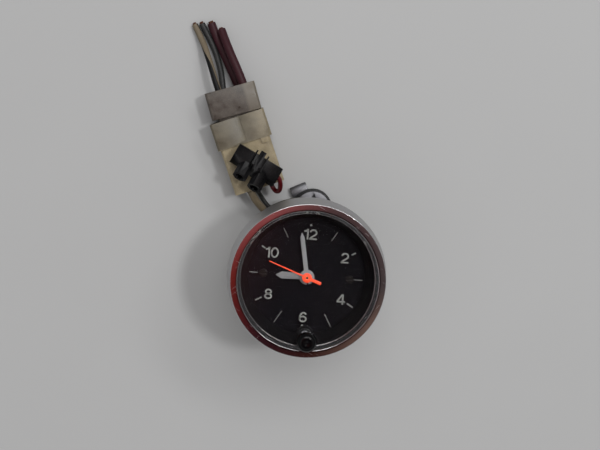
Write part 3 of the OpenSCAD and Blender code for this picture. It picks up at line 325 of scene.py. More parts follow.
# %% Plastics, paints and wires
FINISH.update({
    "black_rubber": finish("black_rubber", srgb(0.1, 0.1, 0.1), 0.65, amount=0.1),
    "black_plastic": finish("black_plastic", srgb(0.05, 0.048, 0.056), 0.45, cloud=1.5, dusty=0.06,
                            Specular_IOR_Level=0.22),
    "gloss_black": finish("gloss_black", srgb(0.02, 0.02, 0.025), 0.12, dusty=0.02, bump=0.02,
                          Specular_IOR_Level=0.15, Coat_Weight=0.1, Coat_Roughness=0.06),
    "white_plastic": finish("white_plastic", srgb(0.6, 0.6, 0.57), 0.4),
    "matt_black": finish("matt_black", srgb(0.055, 0.05, 0.057), 0.7, dusty=0.03, Specular_IOR_Level=0.1),
    "board": finish("board", srgb(0.42, 0.32, 0.18), 0.55, cloud=1.0, amount=0.2),
    "hand_white": finish("hand_white", srgb(0.425, 0.425, 0.43), 0.55, cloud=1.0, amount=0.07, dusty=0.0),
    "hand_orange": finish("hand_orange", srgb(0.93, 0.27, 0.1), 0.45, cloud=1.0, amount=0.07, dusty=0.0),
    "cream_nylon": finish("cream_nylon", srgb(0.38, 0.352, 0.29), 0.42, cloud=4.0, amount=0.5, dusty=0.2,
                          Subsurface_Weight=0.25, Subsurface_Scale=0.002, Subsurface_Radius=(1, 0.9, 0.75)),
    "grey_nylon": finish("grey_nylon", srgb(0.3, 0.273, 0.247), 0.4, cloud=3.0, amount=0.8, dusty=0.2,
                         Subsurface_Weight=0.25, Subsurface_Scale=0.002, Subsurface_Radius=(1, 0.9, 0.75)),
    "cream_wire": finish("cream_wire", srgb(0.45, 0.4, 0.32), 0.45, cloud=1.5),
    "black_wire": finish("black_wire", srgb(0.09, 0.085, 0.08), 0.4, cloud=1.5),
    "red_wire": finish("red_wire", srgb(0.34, 0.05, 0.075), 0.34, cloud=1.5, dusty=0.03,
                       Specular_IOR_Level=0.35),
    "grey_wire": finish("grey_wire", srgb(0.15, 0.15, 0.15), 0.5, cloud=1.5, Specular_IOR_Level=0.3),
    "plum_wire": finish("plum_wire", srgb(0.21, 0.09, 0.115), 0.5, cloud=2.0, amount=0.2, dusty=0.05,
                        Specular_IOR_Level=0.2),
})
print("finishes", len(FINISH))

# %% [markdown]
# Two finishes carry a drawn line. The dial's black has a faint lighter ring at 20 mm from the axis, and
# one pigtail has a black tracer stripe that winds along its white jacket, faster towards the wire's
# bare end. Both come from the piece's own coordinates: the ring from the distance to the axis, the tracer
# from the jacket's UV.

# %% Lighter ring on the dial
RING_R, RING_SHARE = 20.0, 0.35


def recolour(tree, share, tone):
    """Mixes a second tone into a finish, as far as the share says."""
    mixed = add(tree, "ShaderNodeMix", {"Factor": share, "A": base_of(tree), "B": tone}, data_type="RGBA")
    tree.links.new(mixed.outputs["Result"], tree.nodes["Principled BSDF"].inputs["Base Color"])


dial_paint = finish("dial_paint", srgb(0.046, 0.04, 0.053), 0.75, cloud=3.0, amount=0.12, dusty=0.03,
                    bump=0.04, Specular_IOR_Level=0.03)
tree = dial_paint.node_tree
where = add(tree, "ShaderNodeTexCoord").outputs["Object"]
flat = add(tree, "ShaderNodeVectorMath", {0: where, 1: (TO_MM, TO_MM, 0.0)}, operation="MULTIPLY")
radius = add(tree, "ShaderNodeVectorMath", {0: flat.outputs[0]}, operation="LENGTH").outputs["Value"]
off_ring = maths(tree, "ABSOLUTE", maths(tree, "SUBTRACT", radius, RING_R))
on_ring = add(tree, "ShaderNodeMapRange", {"Value": off_ring, "From Min": 0.22, "From Max": 0.08})
recolour(tree, maths(tree, "MULTIPLY", on_ring.outputs[0], RING_SHARE), srgb(0.13, 0.12, 0.14))
FINISH["dial_paint"] = dial_paint
print("ring on", dial_paint.name)

# %% Tracer on the white wire
TURNS_PER_M, MORE_TURNS, MORE_FROM, FIRST_TURN = 8.0, 16.0, 18 * MM, 0.8
traced = finish("white_wire", srgb(0.43, 0.385, 0.32), 0.5, cloud=1.5, Specular_IOR_Level=0.2)
tree = traced.node_tree
jacket = add(tree, "ShaderNodeSeparateXYZ", {0: add(tree, "ShaderNodeUVMap", uv_map="UVMap").outputs[0]})
around, along = jacket.outputs["X"], jacket.outputs["Y"]
past = maths(tree, "MAXIMUM", maths(tree, "SUBTRACT", along, MORE_FROM), 0.0)
winding = maths(tree, "MULTIPLY", along, TURNS_PER_M)
twist = maths(tree, "ADD", winding, maths(tree, "MULTIPLY", past, MORE_TURNS))
turned = maths(tree, "FRACT", maths(tree, "ADD", maths(tree, "ADD", around, twist), FIRST_TURN))
off_line = maths(tree, "ABSOLUTE", maths(tree, "SUBTRACT", turned, 0.5))
on_line = add(tree, "ShaderNodeMapRange", {"Value": off_line, "From Min": 0.26, "From Max": 0.24})
recolour(tree, on_line.outputs[0], srgb(0.06, 0.055, 0.055))
FINISH["white_wire"] = traced
print("finishes", len(FINISH))

# %% [markdown]
# The plug's nylon is thin enough to let the dark wires inside show through. Only its right margin is
# solid, so that margin is paler. The mask measures across the plug, which lies askew in the socket.

# %% Pale margin of the plug
LOOM_TURN, PLUG_SKEW = math.radians(23), math.radians(2.9)
PLUG_AT = (-34.2 * MM, 60.4 * MM, 0.0)


def measured(tree, at, turn):
    """How far a point of the surface lies from a place, along one direction level with the floor."""
    where = add(tree, "ShaderNodeTexCoord").outputs["Object"]
    off = add(tree, "ShaderNodeVectorMath", {0: where, 1: at}, operation="SUBTRACT")
    way = (math.cos(turn), math.sin(turn), 0.0)
    dot = add(tree, "ShaderNodeVectorMath", {0: off.outputs[0], 1: way}, operation="DOT_PRODUCT")
    return dot.outputs["Value"]


tree = FINISH["grey_nylon"].node_tree
across = measured(tree, PLUG_AT, LOOM_TURN - PLUG_SKEW)
margin = add(tree, "ShaderNodeMapRange", {"Value": across, "From Min": 6.2 * MM, "From Max": 7.6 * MM,
                                          "To Max": 0.75})
recolour(tree, margin.outputs[0], srgb(0.44, 0.41, 0.365))
print("pale margin on", FINISH["grey_nylon"].name)

# %% [markdown]
# The socket's collar is doubled by the plug's nose inside it, and the open body behind it is one thin wall.
# The body is painted paler from the collar's foot on, and the collar a little paler towards its right edge:
# this is painted light, which lifts the shade that the clock and the covers cast on the low connector.

# %% Painted light on the socket's body and collar
LOOM_X, LOOM_Y = -19.5, 28
# Painted light: the gain that lifts the socket's body and the collar's right edge
PAINTED_LIGHT_GAIN = (2.65, 2.55, 2.4)
tree = FINISH["cream_nylon"].node_tree
loom_at = (LOOM_X * MM, LOOM_Y * MM, 0.0)
up_loom = measured(tree, loom_at, LOOM_TURN + math.pi / 2)
right_loom = measured(tree, loom_at, LOOM_TURN)
body = add(tree, "ShaderNodeMapRange", {"Value": up_loom, "From Min": 19.4 * MM, "From Max": 18.6 * MM})
edge = add(tree, "ShaderNodeMapRange", {"Value": right_loom, "From Min": 2 * MM, "From Max": 9 * MM,
                                        "To Max": 0.4})
# Painted light share: all of the body, and up to 0.4 towards the collar's right edge
painted_light_share = maths(tree, "MAXIMUM", body.outputs[0], edge.outputs[0])
lighter = add(tree, "ShaderNodeVectorMath", {0: base_of(tree), 1: PAINTED_LIGHT_GAIN}, operation="MULTIPLY")
recolour(tree, painted_light_share, lighter.outputs[0])
print("pale body on", FINISH["cream_nylon"].name)

# %% [markdown]
# Glass bends light, so it is a transmitting shader. Light sampled straight through a bending
# surface is lost, and the dial would go dark, so the glass lets shadow rays pass.

# %% Glass
def glass(name, colour, rough):
    made = finish(name, colour, rough, cloud=5.0, amount=0.01, dusty=0.01, bump=0.0)
    tree = made.node_tree
    shader = tree.nodes["Principled BSDF"]
    shader.inputs["Transmission Weight"].default_value = 1.0
    shader.inputs["IOR"].default_value = 1.5
    shader.inputs["Specular IOR Level"].default_value = 0.25
    clear = add(tree, "ShaderNodeBsdfTransparent")
    path = add(tree, "ShaderNodeLightPath")
    either = add(tree, "ShaderNodeMixShader", {0: path.outputs["Is Shadow Ray"], 1: shader.outputs[0]})
    tree.links.new(clear.outputs[0], either.inputs[2])
    tree.links.new(either.outputs[0], tree.nodes["Material Output"].inputs["Surface"])
    return made


FINISH["lens_glass"] = glass("lens_glass", (0.96, 0.97, 0.97, 1), 0.02)
FINISH["bulb_glass"] = glass("bulb_glass", (0.95, 0.95, 0.9, 1), 0.03)
print("finishes", len(FINISH))

# %% [markdown]
# ## Wires
# A wire is a round jacket drawn along a line. The routes are the ones that the solid model uses:
# they were read off the photo, in the connector's own frame, in millimetres. Geometry nodes turn a
# route into a smooth curve, trim it where the jacket is stripped and sweep a circle along it, or at
# a bare end a bundle of strands.

# %% Routes
def loom(x, y, z):
    c, s = math.cos(LOOM_TURN), math.sin(LOOM_TURN)
    return Vector((LOOM_X + c * x - s * y, LOOM_Y + s * x + c * y, z)) * MM


ROUTES = {
    "supply_wire": [
        (0.4, -20.8, 16.5), (0.4, -20.8, 14), (0.4, -20.8, 11.4), (0.4, -20, 8.6), (0.4, -18, 6.9),
        (0.1, -15.4, 6.1), (-0.6, -12.4, 6.1), (-1.7, -9.4, 6.7), (-2.8, -6.4, 7.7), (-3.6, -3.5, 9),
        (-4, -1, 9.9), (-4.1, 1.4, 10.2), (-4.1, 4.4, 10.2), (-4.1, 8, 10.2)],
    "lamp_wire": [
        (15.7, -14.7, 2), (14, -14, 2), (11.2, -13.3, 1.7), (8.2, -13, 1.2), (5, -12.8, 1), (2.4, -11.9, 1),
        (0.6, -9.7, 1), (-0.4, -7, 1.1), (-1, -4.4, 1.6), (-1.6, -2, 2.7), (-2.3, 0.3, 3.5), (-2.6, 3.4, 3.8),
        (-2.7, 8, 3.8)],
    "jumper_wire": [
        (5.3, 5.8, 18.4), (6.6, 4.3, 18.4), (8, 2.7, 18.4), (8.5, 1.4, 18.1), (8.4, -0.1, 17.2),
        (8, -1.6, 15.8), (7.4, -2.9, 14.2), (6.6, -3.6, 12.6), (5.7, -3.4, 11.3), (5.1, -2.3, 10.5),
        (4.8, -0.7, 10.2), (4.8, 1.4, 10.2), (4.8, 4, 10.2), (4.8, 8, 10.2)],
    "white_pigtail": [
        (-3.8, 34.3, 10.2), (-3.7, 37.4, 10.2), (-3.6, 41.4, 10.2), (-3.6, 45, 10), (-3.5, 49, 9.2),
        (-3.4, 53, 7.9), (-3.4, 57, 6.2), (-3.5, 61, 4.3), (-4, 65.5, 2.5), (-4.6, 70.6, 1.4)],
    "grey_pigtail": [
        (-2.6, 34.2, 3.8), (-2.4, 37.4, 3.8), (-2, 41.4, 3.8), (-1.2, 45, 3.6), (-0.5, 49, 3),
        (-0.2, 53, 2.3), (-0.2, 57, 1.7), (-0.5, 61, 1.4), (-1.1, 65, 1.3), (-1.8, 70.2, 1.3)],
    "plum_pigtail_low": [
        (4.4, 33.9, 3.8), (4.4, 37.4, 3.8), (4.3, 41.4, 3.8), (4, 45, 3.7), (3.6, 49, 3.3), (3.2, 53, 2.7),
        (2.8, 57, 2.2), (2.4, 61, 1.9), (2.1, 65, 1.8), (1.9, 69.2, 1.8)],
    "plum_pigtail_high": [
        (6.6, 33.8, 10.2), (6.6, 37.4, 10.2), (6.6, 41.4, 10.2), (6.4, 45, 10.1), (6.1, 49, 9.6),
        (5.7, 53, 8.7), (5.4, 57, 7.4), (5.2, 60.5, 6), (5.1, 63, 4.9), (5, 65.2, 4.1)],
}
WIRES = {
    "supply_wire": (3.0, "cream_wire", "connector"),
    "lamp_wire": (1.8, "black_wire", "connector"),
    "jumper_wire": (1.9, "red_wire", "connector"),
    "white_pigtail": (2.5, "white_wire", "bare"),
    "grey_pigtail": (2.5, "grey_wire", "bare"),
    "plum_pigtail_low": (3.4, "plum_wire", "bare"),
    "plum_pigtail_high": (3.4, "plum_wire", "bare"),
}
print("routes", {name: len(points) for name, points in ROUTES.items()})

# %% A helper for geometry node groups
def geometry_group(name, inputs):
    tree = bpy.data.node_groups.new(name, "GeometryNodeTree")
    tree.interface.new_socket("Geometry", in_out="INPUT", socket_type="NodeSocketGeometry")
    for label, kind in inputs:
        tree.interface.new_socket(label, in_out="INPUT", socket_type=kind)
    tree.interface.new_socket("Geometry", in_out="OUTPUT", socket_type="NodeSocketGeometry")
    return tree, tree.nodes.new("NodeGroupInput"), tree.nodes.new("NodeGroupOutput")


def grown(name, base, tree, values):
    """A plain mesh object: what the node group makes of the base mesh."""
    obj = placed(name + "_base", base)
    live = obj.modifiers.new("grow", "NODES")
    live.node_group = tree
    for item in tree.interface.items_tree:
        if item.in_out == "INPUT" and item.name in values:
            live[item.identifier] = values[item.name]
    bpy.context.view_layer.update()
    depsgraph = bpy.context.evaluated_depsgraph_get()
    mesh = bpy.data.meshes.new_from_object(obj.evaluated_get(depsgraph), depsgraph=depsgraph)
    bpy.data.objects.remove(obj)
    mesh.name = name
    return placed(name, mesh)


print("helpers: geometry_group, grown")

# %% The wire group: a smooth path through the points, trimmed and stepped evenly
STEP, RING_SIDES, STRANDS = 0.6 * MM, 28, 6
wire_tree, w_in, w_out = geometry_group("wire", [
    ("Radius", "NodeSocketFloat"), ("Start", "NodeSocketFloat"), ("Stop", "NodeSocketFloat"),
    ("Strand", "NodeSocketFloat"), ("Material", "NodeSocketMaterial")])
to_curve = add(wire_tree, "GeometryNodeMeshToCurve", {0: w_in.outputs["Geometry"]})
smooth = add(wire_tree, "GeometryNodeCurveSplineType", {0: to_curve.outputs[0]}, spline_type="CATMULL_ROM")
fine = add(wire_tree, "GeometryNodeSetSplineResolution", {0: smooth.outputs[0], "Resolution": 8})
cut = add(wire_tree, "GeometryNodeTrimCurve", {0: fine.outputs[0]}, mode="FACTOR")
wire_tree.links.new(w_in.outputs["Start"], cut.inputs["Start"])
wire_tree.links.new(w_in.outputs["Stop"], cut.inputs["End"])
even = add(wire_tree, "GeometryNodeResampleCurve", {0: cut.outputs[0], "Length": STEP}, mode="LENGTH")
along = add(wire_tree, "GeometryNodeCaptureAttribute", {0: even.outputs[0]})
along.capture_items.new("FLOAT", "Along")
wire_tree.links.new(add(wire_tree, "GeometryNodeSplineParameter").outputs["Length"], along.inputs[1])
print("group", wire_tree.name)

# %% The wire group: its profile, one round jacket or a bundle of strands
ring = add(wire_tree, "GeometryNodeCurvePrimitiveCircle",
           {"Resolution": RING_SIDES, "Radius": w_in.outputs["Radius"]})
strand_ring = add(wire_tree, "GeometryNodeCurvePrimitiveCircle",
                  {"Resolution": STRANDS, "Radius": w_in.outputs["Strand"]})
strand = add(wire_tree, "GeometryNodeCurvePrimitiveCircle",
             {"Resolution": 10, "Radius": maths(wire_tree, "MULTIPLY", w_in.outputs["Strand"], 0.5)})
hub = add(wire_tree, "GeometryNodePoints", {"Count": 1})
seats = add(wire_tree, "GeometryNodeCurveToPoints", {0: strand_ring.outputs[0], "Count": STRANDS},
            mode="COUNT")
all_seats = add(wire_tree, "GeometryNodeJoinGeometry")
wire_tree.links.new(seats.outputs[0], all_seats.inputs[0])
wire_tree.links.new(hub.outputs[0], all_seats.inputs[0])
bundle = add(wire_tree, "GeometryNodeInstanceOnPoints",
             {0: all_seats.outputs[0], "Instance": strand.outputs[0]})
flat_bundle = add(wire_tree, "GeometryNodeRealizeInstances", {0: bundle.outputs[0]})
stranded = add(wire_tree, "FunctionNodeCompare", {0: w_in.outputs["Strand"], 1: 0.0},
               operation="GREATER_THAN")
profile = add(wire_tree, "GeometryNodeSwitch", {"Switch": stranded.outputs[0]}, input_type="GEOMETRY")
wire_tree.links.new(ring.outputs[0], profile.inputs["False"])
wire_tree.links.new(flat_bundle.outputs[0], profile.inputs["True"])
print("profile: a jacket, or strands", STRANDS + 1)

# %% The wire group: the sweep, with UV round and along it
round_it = add(wire_tree, "GeometryNodeCaptureAttribute", {0: profile.outputs[0]})
round_it.capture_items.new("FLOAT", "Around")
wire_tree.links.new(add(wire_tree, "GeometryNodeSplineParameter").outputs["Factor"], round_it.inputs[1])
swept = add(wire_tree, "GeometryNodeCurveToMesh",
            {0: along.outputs[0], "Profile Curve": round_it.outputs[0], "Fill Caps": True})
uv = add(wire_tree, "ShaderNodeCombineXYZ", {0: round_it.outputs[1], 1: along.outputs[1]})
stored = add(wire_tree, "GeometryNodeStoreNamedAttribute", {0: swept.outputs[0], "Name": "UVMap"},
             data_type="FLOAT2", domain="CORNER")
wire_tree.links.new(uv.outputs[0], stored.inputs["Value"])
shaded = add(wire_tree, "GeometryNodeSetShadeSmooth", {0: stored.outputs[0]})
real = add(wire_tree, "GeometryNodeRealizeInstances", {0: shaded.outputs[0]})
clad = add(wire_tree, "GeometryNodeSetMaterial", {0: real.outputs[0], "Material": w_in.outputs["Material"]})
wire_tree.links.new(clad.outputs[0], w_out.inputs["Geometry"])
print("nodes", len(wire_tree.nodes))

# %% Draw the wires
STRIPPED, CORE, STRAND_SHARE = 0.8 * MM, 5 * MM, 0.4


def route_line(points, steps=8):
    """Points of a Catmull-Rom curve through the route."""
    ends = [2 * points[0] - points[1], *points, 2 * points[-1] - points[-2]]
    line = []
    for a, b, c, d in zip(ends, ends[1:], ends[2:], ends[3:]):
        for k in range(steps):
            t = k / steps
            line.append(0.5 * (2 * b + (c - a) * t + (2 * a - 5 * b + 4 * c - d) * t * t
                               + (3 * b - a - 3 * c + d) * t ** 3))
    return line + [points[-1]]


def run(line):
    return sum((b - a).length for a, b in zip(line, line[1:]))


def base_line(name, points):
    mesh = bpy.data.meshes.new(name)
    mesh.from_pydata(points, [(k, k + 1) for k in range(len(points) - 1)], [])
    return mesh


wires, lines, cores = {}, {}, {}
for name, (thick, coat, end) in WIRES.items():
    line = route_line([loom(*p) for p in ROUTES[name]])
    lines[name] = line
    length = run(line)
    stop = 1 - STRIPPED / length if end == "bare" else 1.0
    size = thick * MM / 2
    wires[name] = grown(name + "_jacket", base_line(name, line), wire_tree, {
        "Radius": size, "Start": 0.0, "Stop": stop, "Strand": 0.0, "Material": FINISH[coat]})
    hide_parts(name)
    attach(wires[name], "case")
    if end == "bare":
        cores[name] = grown(name + "_core", base_line(name + "_core", line), wire_tree, {
            "Radius": size, "Start": 1 - CORE / length, "Stop": 1.0, "Strand": size * STRAND_SHARE,
            "Material": FINISH["copper_wire"]})
        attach(cores[name], "case")
    print(name, "length mm", round(length / MM, 1), "faces", len(wires[name].data.polygons))

# %% [markdown]
# ## Dressing the solid pieces
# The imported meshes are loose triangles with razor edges. A piece that shows is copied and its corners
# are joined. Where it is moulded or pressed, a small bevel breaks its edges, because such edges always
# catch a thin line of light. Shading stays smooth on round faces and sharp at real corners.

# %% The dressing helper
JOIN_WITHIN, FLAT_WITHIN, BEVEL_FROM = 2e-6, math.radians(0.5), math.radians(40)


def dress(node, coat, bevel=0.0, sharp=35.0):
    mesh = NODES[node].data.copy()
    work = bmesh.new()
    work.from_mesh(mesh)
    bmesh.ops.remove_doubles(work, verts=work.verts, dist=JOIN_WITHIN)
    bmesh.ops.dissolve_limit(work, angle_limit=FLAT_WITHIN, verts=work.verts, edges=work.edges)
    bmesh.ops.recalc_face_normals(work, faces=work.faces)
    work.to_mesh(mesh)
    work.free()
    mesh.materials.clear()
    mesh.materials.append(FINISH[coat])
    made = placed(node + "_dressed", mesh)
    if bevel:
        edge = made.modifiers.new("edge", "BEVEL")
        edge.width = bevel * MM
        edge.segments = 2
        edge.limit_method = "ANGLE"
        edge.angle_limit = BEVEL_FROM
        bpy.context.view_layer.update()
        depsgraph = bpy.context.evaluated_depsgraph_get()
        made.data = bpy.data.meshes.new_from_object(made.evaluated_get(depsgraph), depsgraph=depsgraph)
        made.modifiers.clear()
    made.data.shade_smooth()
    made.data.set_sharp_from_angle(angle=math.radians(sharp))
    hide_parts(node)
    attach(made, BODY_OF[node])
    return made


print("helper: dress")

# %% Pieces of the connector
PIECES = {}
for node, coat, bevel in (
    ("socket_housing", "cream_nylon", 0.2), ("plug_housing", "grey_nylon", 0.2),
    ("cover_left", "black_plastic", 0.15), ("cover_right", "black_plastic", 0.15),
    ("crimp_terminals", "brass", 0.0),
):
    PIECES[node] = dress(node, coat, bevel)
print("connector pieces", list(PIECES))

for name, (thick, coat, end) in WIRES.items():
    if name == "jumper_wire":
        continue  # under 30 mm long, so it goes with the connector that holds both its ends
    line = lines[name]
print("cords", len(WIRES) - 1)

# %% Pieces of the clock
for node, coat, bevel in (
    ("lens", "lens_glass", 0.0), ("lens_gasket", "black_rubber", 0.0), ("dial_ring", "matt_black", 0.0),
    ("dial", "dial_paint", 0.0), ("dial_screws", "browned_steel", 0.06), ("case_can", "olive_case", 0.0),
    ("mount_studs", "steel", 0.0), ("stud_nuts", "steel", 0.12), ("thumb_nuts", "brass", 0.12),
    ("hour_hand", "hand_white", 0.05), ("minute_hand", "hand_white", 0.05),
    ("seconds_hand", "hand_orange", 0.04), ("set_stem", "steel", 0.0), ("stem_bush", "black_plastic", 0.05),
    ("spring_collar", "steel", 0.0), ("lamp_shell", "steel", 0.08), ("lamp_insulator", "black_plastic", 0.1),
    ("lamp_terminal", "steel", 0.08), ("wire_grommet", "black_rubber", 0.1),
):
    PIECES[node] = dress(node, coat, bevel)
print("clock pieces", len(PIECES))

# %% [markdown]
# The return spring sits on the bush and carries the collar, so it shortens by the knob's whole travel.
# Here it is dressed, its box is read and it is given a mesh of its own; its length stays as imported.

# %% Return spring
PIECES["stem_spring"] = dress("stem_spring", "steel")
low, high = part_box("stem_spring")
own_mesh(PIECES["stem_spring"])

# %% [markdown]
# The lamp's terminal is a crimped sleeve, and crimping spreads it sideways. Its corners on the outer
# side are pushed outward, the outermost most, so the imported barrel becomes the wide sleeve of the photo.

# %% Spread the crimped sleeve
SLEEVE_AT = Vector((-2.3, 26.1, 0)) * MM
SLEEVE_TURN, SLEEVE_FROM, SPREAD = math.radians(27), 1.2 * MM, 0.7
outward = Vector((-math.sin(SLEEVE_TURN), math.cos(SLEEVE_TURN), 0))
for corner in PIECES["lamp_terminal"].data.vertices:
    off = (corner.co - SLEEVE_AT).dot(outward)
    if off > -SLEEVE_FROM:
        corner.co += outward * (SPREAD * (off + SLEEVE_FROM))
print("sleeve reaches", round(max(v.co.y for v in PIECES["lamp_terminal"].data.vertices) / MM, 2))

# %% [markdown]
# ## Turned pieces
# The bezel is spun from sheet and then chromed, and the knob is a turned moulding. Both are bodies of
# revolution, so a short outline spun round an axis gives a rounder surface than the solid's flats.
# A mirror finish shows every flat, which is why the bezel is worth this.

# %% Spin an outline
SEAM_WITHIN = 1e-7


def arc(cx, cz, rx, rz, start, stop, steps):
    angles = [math.radians(start + (stop - start) * k / steps) for k in range(steps + 1)]
    return [(cx + rx * math.cos(a), cz + rz * math.sin(a)) for a in angles]


def spun(name, outline, coat, body, node, at=(0.0, 0.0), closed=True, turns=256, sharp=30.0):
    verts, faces = [], []
    count = len(outline)
    for k in range(turns):
        a = 2 * math.pi * k / turns
        c, s = math.cos(a), math.sin(a)
        verts += [((at[0] + r * c) * MM, (at[1] + r * s) * MM, z * MM) for r, z in outline]
    for k in range(turns):
        here, there = k * count, (k + 1) % turns * count
        for j in range(count if closed else count - 1):
            nxt = (j + 1) % count
            faces.append((here + j, there + j, there + nxt, here + nxt))
    mesh = bpy.data.meshes.new(name)
    mesh.from_pydata(verts, [], faces)
    work = bmesh.new()
    work.from_mesh(mesh)
    bmesh.ops.remove_doubles(work, verts=work.verts, dist=SEAM_WITHIN)
    bmesh.ops.recalc_face_normals(work, faces=work.faces)
    work.to_mesh(mesh)
    work.free()
    mesh.materials.append(FINISH[coat])
    mesh.shade_smooth()
    mesh.set_sharp_from_angle(angle=math.radians(sharp))
    made = placed(name, mesh)
    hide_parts(node)
    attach(made, body)
    return made


print("helpers: arc, spun")

# %% Bezel
def held(a, b, by=0.08):
    """Two points near the ends of a straight span, so smooth shading does not bend across it."""
    part = by / math.dist(a, b)
    return [tuple(p + (q - p) * t for p, q in zip(a, b)) for t in (part, 1 - part)]


SEAT, CREST = 47.0, 57.0
RISE, EDGE, LIP_EDGE, SHEET, BEAD = 0.005, 0.28, 0.28, 0.8, 0.15
REAR_R, FACE_R, LIP_R, WINDOW_R, CASE_R = 29.75, 28.5, 25.8, 24.65, 26.0
LIP_DEEP, BEAD_DEEP, FOOT_DEEP, CLEAR = 2.6, 2.55, 2.5, 0.2
face_mid = (FACE_R - EDGE + LIP_R + LIP_EDGE) / 2
face_half = (FACE_R - EDGE - LIP_R - LIP_EDGE) / 2
outline = arc(FACE_R - EDGE, CREST - RISE - EDGE, EDGE, EDGE, 0, 90, 14)
outline += arc(face_mid, CREST - RISE, face_half, RISE, 30, 150, 10)
outline += arc(LIP_R + LIP_EDGE, CREST - RISE - LIP_EDGE, LIP_EDGE, LIP_EDGE, 90, 180, 12)
bead = arc(WINDOW_R + BEAD, CREST - BEAD_DEEP, BEAD, BEAD, 90, 180, 8)
lip_foot = (WINDOW_R + BEAD, CREST - FOOT_DEEP + BEAD)
outline += held(outline[-1], lip_foot) + [lip_foot] + bead
outline += [(WINDOW_R, CREST - LIP_DEEP), (WINDOW_R + SHEET, CREST - LIP_DEEP)]
outline += [(LIP_R + SHEET, CREST - RISE - SHEET), (FACE_R - SHEET, CREST - RISE - SHEET)]
outline += [(REAR_R - SHEET, SEAT + SHEET), (CASE_R + CLEAR, SEAT + SHEET), (CASE_R + CLEAR, SEAT)]
outline += [(REAR_R, SEAT), (REAR_R, SEAT + SHEET)]
outline += held(outline[-1], outline[0])
PIECES["bezel"] = spun("bezel_spun", outline, "chrome", "case", "bezel", sharp=25.0)
print("bezel faces", len(PIECES["bezel"].data.polygons))

# %% Knob
STEM = (1.2225, -21.8659)
KNOB_R, KNOB_LOW, KNOB_TOP = 3.7, 56.5, 61.5
WAIST = ((1.3, 0.0), (0.7, 0.8), (0.2, 1.7), (0.0, 2.2))
DOME = 2.2
DISH = ((1, 0.0), (0.5, 0.25), (0, 0.3))
outline = [(0, KNOB_LOW)] + [(KNOB_R - inset, KNOB_LOW + up) for inset, up in WAIST]
outline += arc(KNOB_R - DOME, KNOB_TOP - DOME, DOME, DOME, 0, 78, 18)
outline += [(r, KNOB_TOP - deep) for r, deep in DISH]
PIECES["set_knob"] = spun("knob_spun", outline, "gloss_black", "knob", "set_knob", at=STEM, closed=False,
                          turns=96, sharp=40.0)
print("knob faces", len(PIECES["set_knob"].data.polygons))

# %% [markdown]
# ## The dial's print
# Numbers and marks are screen printed, so they are thin flat shapes a hair above the paint. The
# marks differ only in size and hour, so one geometry node group stamps a bar on each point and
# takes its length, width and turn from the point's own values.

# %% The group that stamps the marks
DIAL_TOP = 45.5
INK = 0.02
marks_tree, k_in, k_out = geometry_group("marks", [("Material", "NodeSocketMaterial")])
size_x = add(marks_tree, "GeometryNodeInputNamedAttribute", {"Name": "wide"}, data_type="FLOAT")
size_y = add(marks_tree, "GeometryNodeInputNamedAttribute", {"Name": "long"}, data_type="FLOAT")
turned = add(marks_tree, "GeometryNodeInputNamedAttribute", {"Name": "turn"}, data_type="FLOAT")
bar = add(marks_tree, "GeometryNodeMeshCube", {"Size": (1.0, 1.0, 1.0)})
spin = add(marks_tree, "ShaderNodeCombineXYZ", {2: turned.outputs[0]})
scale = add(marks_tree, "ShaderNodeCombineXYZ", {0: size_x.outputs[0], 1: size_y.outputs[0], 2: INK * MM})
stamps = add(marks_tree, "GeometryNodeInstanceOnPoints", {
    0: k_in.outputs["Geometry"], "Instance": bar.outputs[0],
    "Rotation": spin.outputs[0], "Scale": scale.outputs[0]})
real = add(marks_tree, "GeometryNodeRealizeInstances", {0: stamps.outputs[0]})
inked = add(marks_tree, "GeometryNodeSetMaterial", {0: real.outputs[0], "Material": k_in.outputs["Material"]})
marks_tree.links.new(inked.outputs[0], k_out.inputs["Geometry"])
print("group", marks_tree.name)

# %% Marks: hour, inner end, outer end and width
MARKS = [(1, 16.2, 20.1, 0.22), (5, 16.2, 21.5, 0.22), (7, 16.2, 21.5, 0.22), (11, 16.2, 20.1, 0.22)]
MARKS += [(3, 17.9, 21.1, 0.22), (9, 18.4, 21.5, 0.22)]
MARKS += [(2, 18.6, 20.3, 0.5), (4, 18.6, 21.3, 0.52), (8, 18.6, 21.3, 0.52), (10, 18.8, 20.3, 0.52)]
seat = bpy.data.meshes.new("mark_seats")
angles = [math.radians(30 * hour) for hour, *_ in MARKS]
middles = [(low + high) / 2 for _, low, high, _ in MARKS]
INK_Z = (DIAL_TOP + INK / 2) * MM
places = [(r * MM * math.sin(a), r * MM * math.cos(a), INK_Z) for a, r in zip(angles, middles)]
seat.from_pydata(places, [], [])
for label, values in (("wide", [w * MM for *_, w in MARKS]), ("long", [(h - l) * MM for _, l, h, _ in MARKS]),
                      ("turn", [-a for a in angles])):
    seat.attributes.new(label, "FLOAT", "POINT").data.foreach_set("value", values)
ink = finish("ink", srgb(0.48, 0.48, 0.465), 0.6, cloud=0.8, amount=0.1, dusty=0.0, bump=0.0)
marks = grown("dial_marks", seat, marks_tree, {"Material": ink})
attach(marks, "case")
print("marks", len(MARKS), "faces", len(marks.data.polygons))

# %% [markdown]
# The numbers are drawn with a pen of one width, as a sign painter would: each digit is a few open or
# closed strokes in a box one unit high. A second node group sweeps a flat bar along every stroke.

